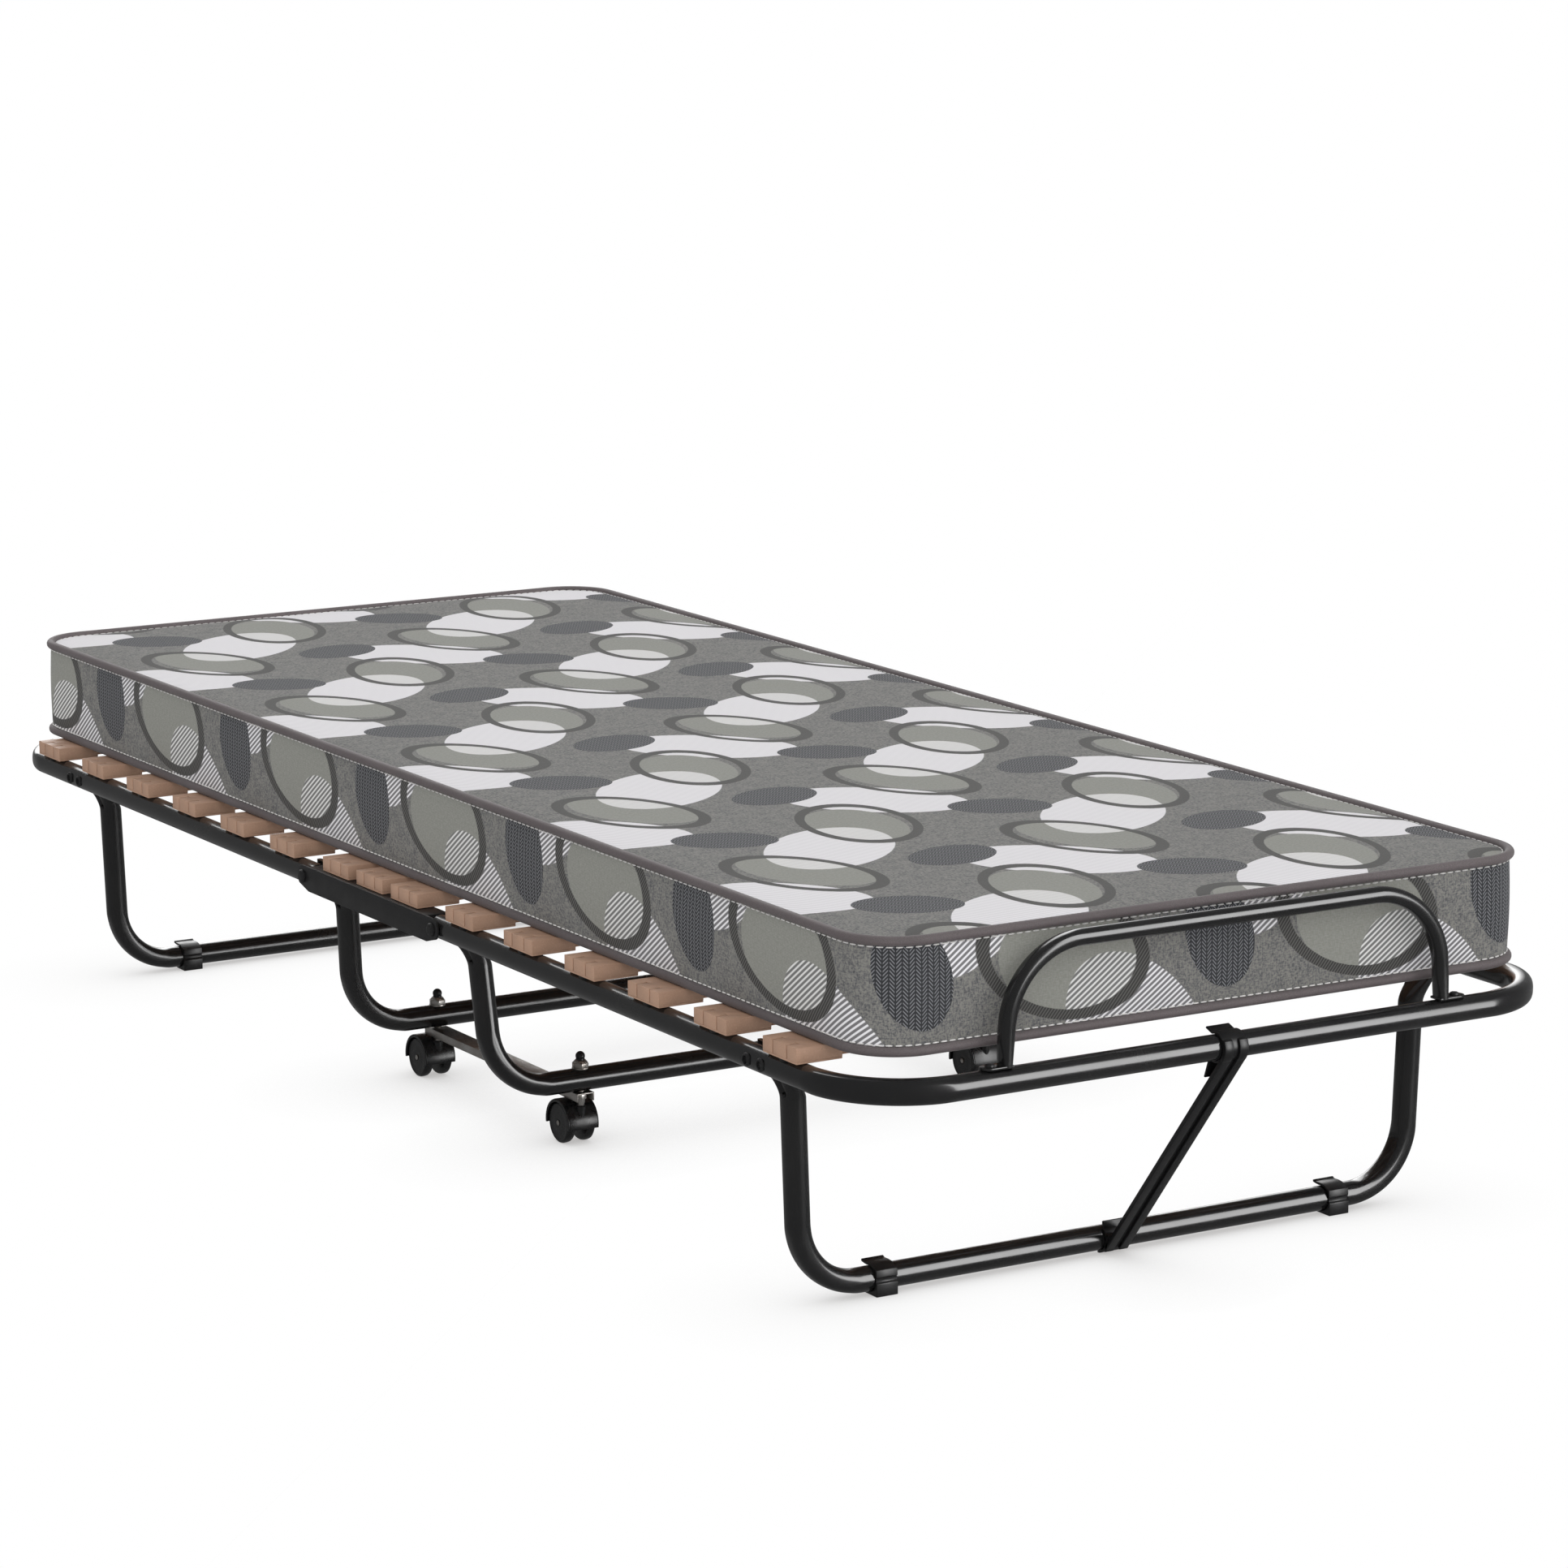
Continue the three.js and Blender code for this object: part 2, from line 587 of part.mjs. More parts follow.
export default bed;
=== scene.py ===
"""Looks for a folding rollaway bed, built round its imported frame.

Metres. +X is the bed's width, +Y runs to the head end, +Z is up, and the floor is at 0.
"""

import math

import bmesh
import bpy
from mathutils import Matrix, Vector
from mathutils.bvhtree import BVHTree


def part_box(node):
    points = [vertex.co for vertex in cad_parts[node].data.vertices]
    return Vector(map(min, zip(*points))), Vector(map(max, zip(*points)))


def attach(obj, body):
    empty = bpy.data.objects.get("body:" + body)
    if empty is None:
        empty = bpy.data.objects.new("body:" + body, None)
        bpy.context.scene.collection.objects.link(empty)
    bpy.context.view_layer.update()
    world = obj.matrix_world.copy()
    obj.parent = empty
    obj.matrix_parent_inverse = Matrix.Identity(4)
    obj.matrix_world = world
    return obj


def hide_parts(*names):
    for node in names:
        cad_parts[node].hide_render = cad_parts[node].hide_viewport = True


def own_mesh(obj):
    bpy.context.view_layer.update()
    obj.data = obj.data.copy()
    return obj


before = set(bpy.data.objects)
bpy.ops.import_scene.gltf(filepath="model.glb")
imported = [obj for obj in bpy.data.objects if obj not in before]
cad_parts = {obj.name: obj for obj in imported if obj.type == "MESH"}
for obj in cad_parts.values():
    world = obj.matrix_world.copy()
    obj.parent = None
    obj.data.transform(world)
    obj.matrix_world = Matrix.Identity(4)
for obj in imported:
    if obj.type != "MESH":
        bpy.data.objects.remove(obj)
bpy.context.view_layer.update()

MM = 0.001
GAP = 0.3 * MM
X, Y, Z = Vector((1, 0, 0)), Vector((0, 1, 0)), Vector((0, 0, 1))
HALVES = (("head", 1), ("foot", -1))
SIDES = (("left", -1), ("right", 1))


# ---- sizes that the frame gives ----


def middle(node):
    low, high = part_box(node)
    return (low + high) / 2


rail_low, rail_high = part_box("foot_rail")
rail_flat = (rail_high.z - rail_low.z) / 2
TUBE_R = 12 * MM
RAIL_X = rail_high.x - rail_flat
RAIL_Z = (rail_low.z + rail_high.z) / 2
RAIL_END_Y = -rail_low.y - rail_flat
RAIL_BEND = 92 * MM
RAIL_START_Y = -rail_high.y
PIVOT_Y = middle("hinge_bolt_head_right").y
LEG_PIVOT_Y = middle("leg_rivet_head_right").y
CASTER_X = middle("caster_stem_head_right").x

LEG_TOP_X = 351 * MM
LEG_FOOT_X = 344 * MM
LEG_BEND = 66 * MM
LEG_TOP_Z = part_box("foot_leg")[1].z
PRESS_FROM_Z = 196 * MM
PRESS_FULL_Z = 238 * MM
PRESS_X = 372 * MM
PRESS_THIN = 0.27
PRESS_WIDE = 1.4

bed_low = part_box("cushion_foot")[0]
bed_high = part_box("cushion_head")[1]
BED_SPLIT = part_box("cushion_head")[0].y
BED_CORNER = 59 * MM


# ---- shapes: vertices and faces, before they become a piece ----


class Shape:
    def __init__(self, vertices=(), faces=()):
        self.vertices = [Vector(v) for v in vertices]
        self.faces = [tuple(f) for f in faces]

    def __add__(self, other):
        first = len(self.vertices)
        moved = [tuple(first + i for i in face) for face in other.faces]
        return Shape(self.vertices + other.vertices, self.faces + moved)

    def moved(self, matrix):
        turned = matrix.determinant() < 0
        faces = [face[::-1] if turned else face for face in self.faces]
        return Shape([matrix @ v for v in self.vertices], faces)

    def at(self, x, y, z):
        return self.moved(Matrix.Translation((x, y, z)))

    def mirrored(self):
        return self.moved(Matrix.Scale(-1, 4, X))

    def bevelled(self, width, segments=2, angle=35):
        """Rounds the edges sharper than an angle in degrees."""
        mesh = bmesh.new()
        corners = [mesh.verts.new(v) for v in self.vertices]
        for face in self.faces:
            mesh.faces.new([corners[i] for i in face])
        bmesh.ops.remove_doubles(mesh, verts=mesh.verts, dist=1e-6)
        bmesh.ops.recalc_face_normals(mesh, faces=mesh.faces)
        limit = math.radians(angle)
        sharp = [e for e in mesh.edges if len(e.link_faces) == 2 and e.calc_face_angle() > limit]
        bmesh.ops.bevel(
            mesh, geom=sharp, offset=width, segments=segments, profile=0.5, affect="EDGES", clamp_overlap=True
        )
        mesh.verts.index_update()
        made = Shape([v.co for v in mesh.verts], [[v.index for v in f.verts] for f in mesh.faces])
        mesh.free()
        return made


def total(shapes):
    made = Shape()
    for shape in shapes:
        made = made + shape
    return made


def box(low, high):
    corners = [(x, y, z) for x in (low[0], high[0]) for y in (low[1], high[1]) for z in (low[2], high[2])]
    faces = [(0, 1, 3, 2), (4, 6, 7, 5), (0, 4, 5, 1), (2, 3, 7, 6), (0, 2, 6, 4), (1, 5, 7, 3)]
    return Shape(corners, faces)


def extruded(outline, x0, x1):
    """An outline of (y, z), run along X."""
    count = len(outline)
    vertices = [(x, y, z) for x in (x0, x1) for y, z in outline]
    sides = [(i, (i + 1) % count, count + (i + 1) % count, count + i) for i in range(count)]
    return Shape(vertices, [tuple(range(count))[::-1], tuple(range(count, 2 * count)), *sides])


def upright(outline, z0, z1):
    """An outline of (x, y), run along Z."""
    turn = Matrix(((0, 1, 0, 0), (0, 0, 1, 0), (1, 0, 0, 0), (0, 0, 0, 1)))
    return extruded(outline, z0, z1).moved(turn)


def arc(centre, radius, start, end, steps):
    """Points on an arc in a plane. Angles are in degrees from the plane's first axis."""
    made = []
    for i in range(steps + 1):
        angle = math.radians(start + (end - start) * i / steps)
        made.append((centre[0] + radius * math.cos(angle), centre[1] + radius * math.sin(angle)))
    return made


def lathe(profile, sides=40):
    """A closed profile of (radius, height) turned about Z. Its first and last points are on the axis."""
    inner = profile[1:-1]
    vertices = [(0, 0, profile[0][1]), (0, 0, profile[-1][1])]
    for radius, height in inner:
        for k in range(sides):
            angle = 2 * math.pi * k / sides
            vertices.append((radius * math.cos(angle), radius * math.sin(angle), height))
    faces = []
    last = 2 + (len(inner) - 1) * sides
    for k in range(sides):
        after = (k + 1) % sides
        faces.append((0, 2 + after, 2 + k))
        faces.append((1, last + k, last + after))
        for row in range(len(inner) - 1):
            low = 2 + row * sides
            faces.append((low + k, low + after, low + sides + after, low + sides + k))
    return Shape(vertices, faces)


def ring(profile, sides=40):
    """A closed profile of (radius, height) that stays off the axis, turned about Z."""
    count = len(profile)
    vertices = []
    for k in range(sides):
        angle = 2 * math.pi * k / sides
        vertices += [(r * math.cos(angle), r * math.sin(angle), h) for r, h in profile]
    faces = []
    for k in range(sides):
        here, after = k * count, (k + 1) % sides * count
        for i in range(count):
            j = (i + 1) % count
            faces.append((here + i, after + i, after + j, here + j))
    return Shape(vertices, faces)


TO_X = Matrix.Rotation(math.pi / 2, 4, "Y")  # a lathe's axis from Z to X


def stations(corners, steps=18):
    """Places along a polyline with rounded corners: (point, direction, how far round a bend from 0 to 1).
    A corner is (x, y, z) or (x, y, z, bend radius)."""
    points = [Vector(c[:3]) for c in corners]
    ways = [(b - a).normalized() for a, b in zip(points, points[1:])]
    made = [(points[0], ways[0], 0.0)]
    for i in range(1, len(points) - 1):
        before, after = ways[i - 1], ways[i]
        radius = corners[i][3] if len(corners[i]) > 3 else 0
        angle = before.angle(after)
        if radius == 0:
            made.append((points[i], (before + after).normalized(), 0.0))
            continue
        side = (after - before * math.cos(angle)).normalized()
        start = points[i] - before * radius * math.tan(angle / 2)
        for k in range(steps + 1):
            turn = angle * k / steps
            point = start + before * radius * math.sin(turn) + side * radius * (1 - math.cos(turn))
            way = before * math.cos(turn) + side * math.sin(turn)
            made.append((point, way, k / steps))
    made.append((points[-1], ways[-1], 0.0))
    return made


def swept(places, section, up, sides=32, closed=False, dent=None):
    """A tube through stations. section(point, round) gives its half width across the up direction, its
    half height along it, how square it is (2 is an ellipse), and a shift. dent(point, angle) gives how
    far the wall is pushed in."""
    vertices, faces = [], []
    for point, way, turn in places:
        high = (up - way * up.dot(way)).normalized()
        across = way.cross(high)
        half_width, half_height, square, shift = section(point, turn)
        for k in range(sides):
            angle = 2 * math.pi * k / sides
            c, s = math.cos(angle), math.sin(angle)
            wide = math.copysign(abs(c) ** (2 / square), c) * half_width
            tall = math.copysign(abs(s) ** (2 / square), s) * half_height
            out = across * wide + high * tall
            if dent:
                out *= 1 - min(0.8, dent(point, math.degrees(angle)) / out.length)
            vertices.append(point + shift + out)
    count = len(places)
    for row in range(count if closed else count - 1):
        here, after = row * sides, (row + 1) % count * sides
        for k in range(sides):
            j = (k + 1) % sides
            faces.append((here + k, here + j, after + j, after + k))
    if not closed:
        faces.append(tuple(range(sides))[::-1])
        faces.append(tuple(range((count - 1) * sides, count * sides)))
    return Shape(vertices, faces)


def smoothstep(value, low, high):
    t = min(1.0, max(0.0, (value - low) / (high - low)))
    return t * t * (3 - 2 * t)


def mix(a, b, t):
    return a + (b - a) * t


def bent_tube(radius):
    """The section of a tube that is pressed a little flat and square where it bends."""

    def section(point, turn):
        press = smoothstep(min(turn, 1 - turn), 0, 0.13)
        return radius * (1 - 0.1 * press), radius * (1 - 0.01 * press), 2 + 0.7 * press, Vector()

    return section


def piece(name, shape, look, body, stands_for=(), smooth_angle=38):
    mesh = bpy.data.meshes.new(name)
    mesh.from_pydata([tuple(v) for v in shape.vertices], [], shape.faces)
    mesh.polygons.foreach_set("use_smooth", [True] * len(mesh.polygons))
    mesh.set_sharp_from_angle(angle=math.radians(smooth_angle))
    mesh.materials.append(look)
    made = bpy.data.objects.new(name, mesh)
    bpy.context.scene.collection.objects.link(made)
    if stands_for:
        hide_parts(*stands_for)
    if body:
        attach(made, body)
    return made


# ---- materials ----


def linear(red, green, blue):
    """A colour given in display values from 0 to 255."""
    made = []
    for value in (red, green, blue):
        v = value / 255
        made.append(v / 12.92 if v <= 0.04045 else ((v + 0.055) / 1.055) ** 2.4)
    return (*made, 1.0)


class Nodes:
    """Short ways to add shader nodes to a tree."""

    def __init__(self, tree):
        self.tree = tree

    def put(self, value, socket):
        if isinstance(value, bpy.types.NodeSocket):
            self.tree.links.new(value, socket)
        else:
            socket.default_value = value

    def node(self, kind, inputs=(), out=0, **settings):
        made = self.tree.nodes.new("ShaderNode" + kind)
        for key, value in settings.items():
            setattr(made, key, value)
        for key, value in dict(inputs).items():
            self.put(value, made.inputs[key])
        return made.outputs[out]

    def math(self, operation, *values, clamp=False):
        return self.node("Math", dict(enumerate(values)), operation=operation, use_clamp=clamp)

    def vector(self, operation, *values, out=0):
        return self.node("VectorMath", dict(enumerate(values)), out=out, operation=operation)

    def blend(self, amount, a, b):
        return self.node("Mix", {0: amount, 6: a, 7: b}, out=2, data_type="RGBA")

    def coordinates(self, scale=(1, 1, 1)):
        place = self.node("TexCoord", out=3)
        return self.vector("MULTIPLY", place, scale)

    def noise(self, place, scale, detail=2.0, rough=0.5):
        return self.node("TexNoise", {"Vector": place, "Scale": scale, "Detail": detail, "Roughness": rough})

    def ramp(self, value, low, high, to_low=0.0, to_high=1.0, **settings):
        ends = {"Value": value, "From Min": low, "From Max": high, "To Min": to_low, "To Max": to_high}
        return self.node("MapRange", ends, **settings)

    def window(self, value, start, end, soft):
        """1 between two values and 0 outside, with soft ends."""
        rise = self.ramp(value, start - soft, start + soft, interpolation_type="SMOOTHSTEP")
        fall = self.ramp(value, end - soft, end + soft, 1.0, 0.0, interpolation_type="SMOOTHSTEP")
        return self.math("MULTIPLY", rise, fall)


class Look(Nodes):
    """A material's nodes."""

    def __init__(self, name, roughness, metallic=0.0, **sockets):
        self.material = bpy.data.materials.new(name)
        self.material.use_nodes = True
        super().__init__(self.material.node_tree)
        self.shader = self.tree.nodes["Principled BSDF"]
        sockets.update(Roughness=roughness, Metallic=metallic)
        for socket, value in sockets.items():
            self.shader.inputs[socket.replace("_", " ")].default_value = value

    def bump(self, height, strength, distance):
        made = self.node("Bump", {"Height": height, "Strength": strength, "Distance": distance})
        self.put(made, self.shader.inputs["Normal"])

    def colour(self, value):
        self.put(value, self.shader.inputs["Base Color"])

    def rough(self, value):
        self.put(value, self.shader.inputs["Roughness"])


def gloss_paint():
    """Powder coat: a deep black with a fine orange peel and faint rub marks."""
    look = Look("gloss_paint", 0.2, Specular_IOR_Level=0.5, Coat_Weight=0.35, Coat_Roughness=0.06)
    place = look.coordinates()
    rub = look.noise(place, 9, 4, 0.6)
    look.colour(look.blend(look.ramp(rub, 0.4, 0.75), linear(20, 20, 21), linear(30, 30, 30)))
    look.rough(look.ramp(rub, 0.3, 0.8, 0.2, 0.3))
    look.bump(look.noise(place, 420, 1), 0.06, 0.4 * MM)
    return look.material


def satin_paint():
    look = Look("satin_paint", 0.42, Specular_IOR_Level=0.45)
    place = look.coordinates()
    speck = look.noise(place, 700, 2)
    look.colour(look.blend(look.ramp(speck, 0.35, 0.7), linear(24, 24, 25), linear(38, 38, 39)))
    look.rough(look.ramp(look.noise(place, 25, 3), 0.3, 0.7, 0.36, 0.5))
    look.bump(speck, 0.15, 0.3 * MM)
    return look.material


def zinc():
    """Zinc plate, brushed a little along the bed, with a cloudy passivated tint."""
    look = Look("zinc_plate", 0.3, metallic=1.0)
    brushed = look.noise(look.coordinates((260, 18, 260)), 3, 4, 0.7)
    cloud = look.noise(look.coordinates(), 40, 3)
    grey = look.blend(look.ramp(cloud, 0.3, 0.7), linear(205, 203, 200), linear(176, 170, 163))
    look.colour(look.blend(look.ramp(brushed, 0.35, 0.7, 0, 0.35), grey, linear(140, 134, 128)))
    look.rough(look.ramp(brushed, 0.3, 0.7, 0.24, 0.42))
    look.bump(brushed, 0.1, 0.2 * MM)
    return look.material


def black_plastic(name="black_plastic", roughness=0.34):
    """Moulded plastic with a fine spark-eroded grain."""
    look = Look(name, roughness, Specular_IOR_Level=0.45)
    place = look.coordinates()
    grain = look.noise(place, 1400, 1)
    look.colour(look.blend(look.ramp(grain, 0.4, 0.7), linear(17, 17, 18), linear(30, 30, 31)))
    look.rough(look.ramp(look.noise(place, 60, 2), 0.3, 0.7, roughness - 0.05, roughness + 0.08))
    look.bump(grain, 0.16, 0.15 * MM)
    return look.material


def slat_cap():
    """Filled tan plastic with a fine speckle."""
    look = Look("slat_cap", 0.5, Specular_IOR_Level=0.4)
    place = look.coordinates()
    speckle = look.noise(place, 900, 3, 0.7)
    cloud = look.noise(place, 30, 3)
    tan = look.blend(look.ramp(cloud, 0.3, 0.7), linear(184, 148, 125), linear(172, 138, 116))
    tan = look.blend(look.ramp(speckle, 0.52, 0.7, 0, 0.45), tan, linear(205, 168, 143))
    tan = look.blend(look.ramp(speckle, 0.36, 0.26, 0, 0.5), tan, linear(120, 90, 72))
    look.colour(tan)
    look.rough(look.ramp(speckle, 0.3, 0.7, 0.42, 0.6))
    look.bump(speckle, 0.2, 0.2 * MM)
    return look.material


def slat_board():
    """Laminated board: a tan paper face over long grain."""
    look = Look("slat_board", 0.55, Specular_IOR_Level=0.4)
    grain = look.noise(look.coordinates((6, 210, 210)), 2, 5, 0.65)
    fleck = look.noise(look.coordinates((60, 700, 700)), 2, 2)
    tan = look.blend(look.ramp(grain, 0.3, 0.7), linear(176, 138, 112), linear(146, 110, 87))
    look.colour(look.blend(look.ramp(fleck, 0.62, 0.75, 0, 0.5), tan, linear(112, 82, 62)))
    look.bump(grain, 0.2, 0.3 * MM)
    return look.material


def piping_cloth():
    """Taupe binding tape rolled over a cord, ribbed across."""
    look = Look("piping_cloth", 0.72, Sheen_Weight=0.15, Sheen_Roughness=0.4)
    place = look.coordinates()
    rib = look.noise(look.vector("MULTIPLY", place, (1, 1, 3)), 900, 2)
    cloud = look.noise(place, 14, 3)
    taupe = look.blend(look.ramp(cloud, 0.3, 0.7), linear(99, 91, 92), linear(110, 102, 103))
    look.colour(look.blend(look.ramp(rib, 0.35, 0.7), taupe, linear(84, 77, 78)))
    look.bump(rib, 0.25, 0.3 * MM)
    return look.material


def thread():
    look = Look("thread", 0.6, Sheen_Weight=0.2)
    twist = look.noise(look.coordinates(), 2500, 1)
    look.colour(look.blend(look.ramp(twist, 0.4, 0.7), linear(236, 234, 232), linear(196, 194, 192)))
    look.bump(twist, 0.4, 0.2 * MM)
    return look.material


# ---- the printed ticking ----

TILE = (313 * MM, 323 * MM)  # one repeat of the print, across the bed and along it
OVAL_BIG = (95 * MM, 59 * MM)
OVAL_PALE = (97 * MM, 60 * MM)
OVAL_DARK = (52 * MM, 36 * MM)
BAND = 0.84                  # a ring's inner edge over its outer edge
DISC_SHIFT = 9 * MM          # the disc in a ring sits off its middle
EDGE = 70.0                  # how crisp the print's edges are


def ticking(name, worn):
    """A woven ticking in greys. Its coordinates are the UV map's, in metres: across the bed to the
    right, and along the bed to the foot. Ovals and rings lie over a mottled ground. Where it is
    raised, its pale ribs hide the dark yarn between them."""
    look = Look(name, 0.88, Specular_IOR_Level=0.25, Sheen_Weight=0.1, Sheen_Roughness=0.5)
    cloth = look.node("UVMap", uv_map="Cloth")
    wobble = look.node("TexNoise", {"Vector": cloth, "Scale": 500.0, "Detail": 1.0}, out=1)
    wobble = look.vector("SCALE", look.vector("SUBTRACT", wobble, (0.5, 0.5, 0.5)))
    wobble.node.inputs["Scale"].default_value = 0.8 * MM
    place = look.vector("ADD", cloth, wobble)
    split = look.node("SeparateXYZ", {0: cloth})
    across, along = split, split.node.outputs[1]

    def oval(centre, axes, tilt, shrink=1.0):
        """1 inside an oval of the print, and 0 outside. Its long axis is turned clockwise from across."""
        half = (TILE[0] / 2, TILE[1] / 2, 1)
        minus = (-half[0], -half[1], -1)
        near = look.vector("SUBTRACT", place, (centre[0] * MM, centre[1] * MM, 0))
        near = look.vector("WRAP", near, half, minus)
        turn = (0, 0, -math.radians(tilt))
        near = look.node("VectorRotate", {"Vector": near, "Rotation": turn}, rotation_type="EULER_XYZ")
        size = (1 / (axes[0] * shrink), 1 / (axes[1] * shrink), 0)
        reach = look.vector("LENGTH", look.vector("MULTIPLY", near, size), out=1)
        return look.math("MULTIPLY", look.math("SUBTRACT", 1.0, reach), EDGE, clamp=True)

    rings = [((114, 277), 75, (1, -1)), ((277, 435), 105, (-1, 1))]
    outer = [oval(centre, OVAL_BIG, tilt) for centre, tilt, _ in rings]
    inner = [oval(centre, OVAL_BIG, tilt, BAND) for centre, tilt, _ in rings]
    shift = DISC_SHIFT / MM
    discs = []
    for (centre, tilt, way), hollow in zip(rings, inner):
        shifted = (centre[0] + way[0] * shift, centre[1] + way[1] * shift)
        discs.append(look.math("MULTIPLY", oval(shifted, OVAL_BIG, tilt, BAND), hollow))
    under = oval((349, 347), OVAL_PALE, 45)
    over = oval((193, 518), OVAL_PALE, -45)
    dark = look.math("MAXIMUM", oval((126, 437), OVAL_DARK, 25), oval((275, 281), OVAL_DARK, -22))

    def wave(run, rise, period, start=-0.2, end=0.6):
        """Diagonal ribs: 1 on a rib and 0 between two."""
        phase = look.math("ADD", look.math("MULTIPLY", along, run), look.math("MULTIPLY", across, rise))
        turn = look.math("SINE", look.math("MULTIPLY", phase, 2 * math.pi / (period * MM)))
        return look.ramp(turn, start, end)

    slant = math.radians(36)
    stripe = wave(math.sin(slant), -math.cos(slant), 4.5)
    twill = wave(math.sin(math.radians(52)), -math.cos(math.radians(52)), 2.9)
    weave = wave(0.0, 1.0, 1.5)
    column = look.math("PINGPONG", along, 5.8 * MM)
    chevron = look.math("ADD", across, look.math("MULTIPLY", column, 1.1))
    chevron = look.math("SINE", look.math("MULTIPLY", chevron, 2 * math.pi / (3.6 * MM)))
    zigzag = look.ramp(chevron, 0.1, 0.8)
    herringbone = look.math("MULTIPLY", zigzag, look.window(column, 0.7 * MM, 5.1 * MM, 0.3 * MM))

    fibre = look.noise(look.vector("MULTIPLY", cloth, (1.0, 0.4, 1.0)), 620, 3, 0.65)
    cross = look.noise(look.vector("MULTIPLY", cloth, (0.4, 1.0, 1.0)), 620, 3, 0.65)
    mottle = look.math("MULTIPLY", look.math("ADD", fibre, cross), 0.5)
    cloud = look.noise(cloth, 75, 4, 0.7)

    patchy = look.math("ADD", mottle, look.ramp(cloud, 0.3, 0.7, -0.05, 0.05))
    ground = look.blend(look.ramp(patchy, 0.43, 0.56), linear(96, 96, 98), linear(134, 133, 128))
    ground = look.blend(look.ramp(patchy, 0.41, 0.36, 0, 0.7), ground, linear(72, 72, 74))
    disc_colour = look.blend(look.ramp(mottle, 0.42, 0.6), linear(138, 139, 132), linear(152, 152, 146))
    disc_colour = look.blend(look.math("MULTIPLY", weave, 0.3), disc_colour, linear(122, 123, 118))
    pale_stripe = look.ramp(stripe, 0, 1, worn, 1)
    pale = look.blend(pale_stripe, linear(122, 121, 123), linear(240, 238, 241))
    pale_in_ring = look.blend(pale_stripe, linear(120, 120, 119), linear(228, 227, 226))
    band = look.blend(twill, linear(60, 59, 58), linear(96, 95, 93))
    dark_colour = look.blend(herringbone, linear(52, 53, 56), linear(132, 133, 137))

    colour = look.blend(under, ground, pale)
    colour = look.blend(over, colour, pale)
    both = look.math("MAXIMUM", *discs)
    colour = look.blend(both, colour, disc_colour)
    colour = look.blend(look.math("MULTIPLY", both, over), colour, pale_in_ring)
    bands = [look.math("SUBTRACT", whole, hollow) for whole, hollow in zip(outer, inner)]
    bands = look.math("MAXIMUM", *bands)
    colour = look.blend(bands, colour, band)
    colour = look.blend(dark, colour, dark_colour)
    look.colour(colour)

    pale_area = look.math("MULTIPLY", look.math("MAXIMUM", under, over), look.math("SUBTRACT", 1.0, bands))
    height = look.math("MULTIPLY", stripe, pale_area)
    height = look.math("ADD", height, look.math("MULTIPLY", twill, bands))
    height = look.math("ADD", height, look.math("MULTIPLY", herringbone, dark))
    height = look.math("ADD", look.math("MULTIPLY", height, 0.6), look.math("MULTIPLY", mottle, 1.3))
    look.bump(height, 0.5, 0.5 * MM)
    return look.material


PAINT = gloss_paint()
SATIN = satin_paint()
ZINC = zinc()
PLASTIC = black_plastic()
HOOD = black_plastic("caster_plastic", 0.27)
CAP = slat_cap()
BOARD = slat_board()
PIPING = piping_cloth()
THREAD = thread()
PANEL_TICKING = ticking("panel_ticking", 0.75)
STRIP_TICKING = ticking("strip_ticking", 0.0)


# ---- frame ----


def half_rail(half, end):
    far = end * RAIL_END_Y
    start = end * RAIL_START_Y
    corners = [
        (-RAIL_X, start, RAIL_Z),
        (-RAIL_X, far, RAIL_Z, RAIL_BEND),
        (RAIL_X, far, RAIL_Z, RAIL_BEND),
        (RAIL_X, start, RAIL_Z),
    ]
    shape = swept(stations(corners, 28), bent_tube(TUBE_R), Z, 40)
    piece(f"{half}_rail_tube", shape, PAINT, f"{half}_section", [f"{half}_rail"])


def leg_section(point, turn):
    """A leg's section: round, pressed in a bend, and flat and wide at its top, where its back flares."""
    flat = smoothstep(point.z, PRESS_FROM_Z, PRESS_FULL_Z)
    flare = 4.5 * MM * smoothstep(point.z, 211 * MM, 230 * MM)
    across, high, square, _ = bent_tube(TUBE_R)(point, turn)
    out = math.copysign(mix(0, PRESS_X - LEG_TOP_X, flat), point.x)
    across *= mix(1, PRESS_THIN, flat)
    high = high * mix(1, PRESS_WIDE * 0.93, flat) + flare
    return across, high, mix(square, 4.5, flat), X * out + Y * flare


CREASE_LOW = 200 * MM
CREASE_HIGH = 236 * MM
CREASE_FROM = 192


def leg_crease(point, angle):
    """The depth of the crease beside a leg's flat, which runs up and back from a small pin."""
    if not CREASE_LOW < point.z < CREASE_HIGH:
        return 0.0
    rise = (point.z - CREASE_LOW) / (CREASE_HIGH - CREASE_LOW)
    centre = mix(CREASE_FROM, 166, rise)
    width = mix(15, 20, rise)
    ends = smoothstep(rise, 0, 0.15) * (1 - smoothstep(rise, 0.8, 1))
    return 5.5 * MM * ends * math.exp(-(((angle - centre) / width) ** 4))


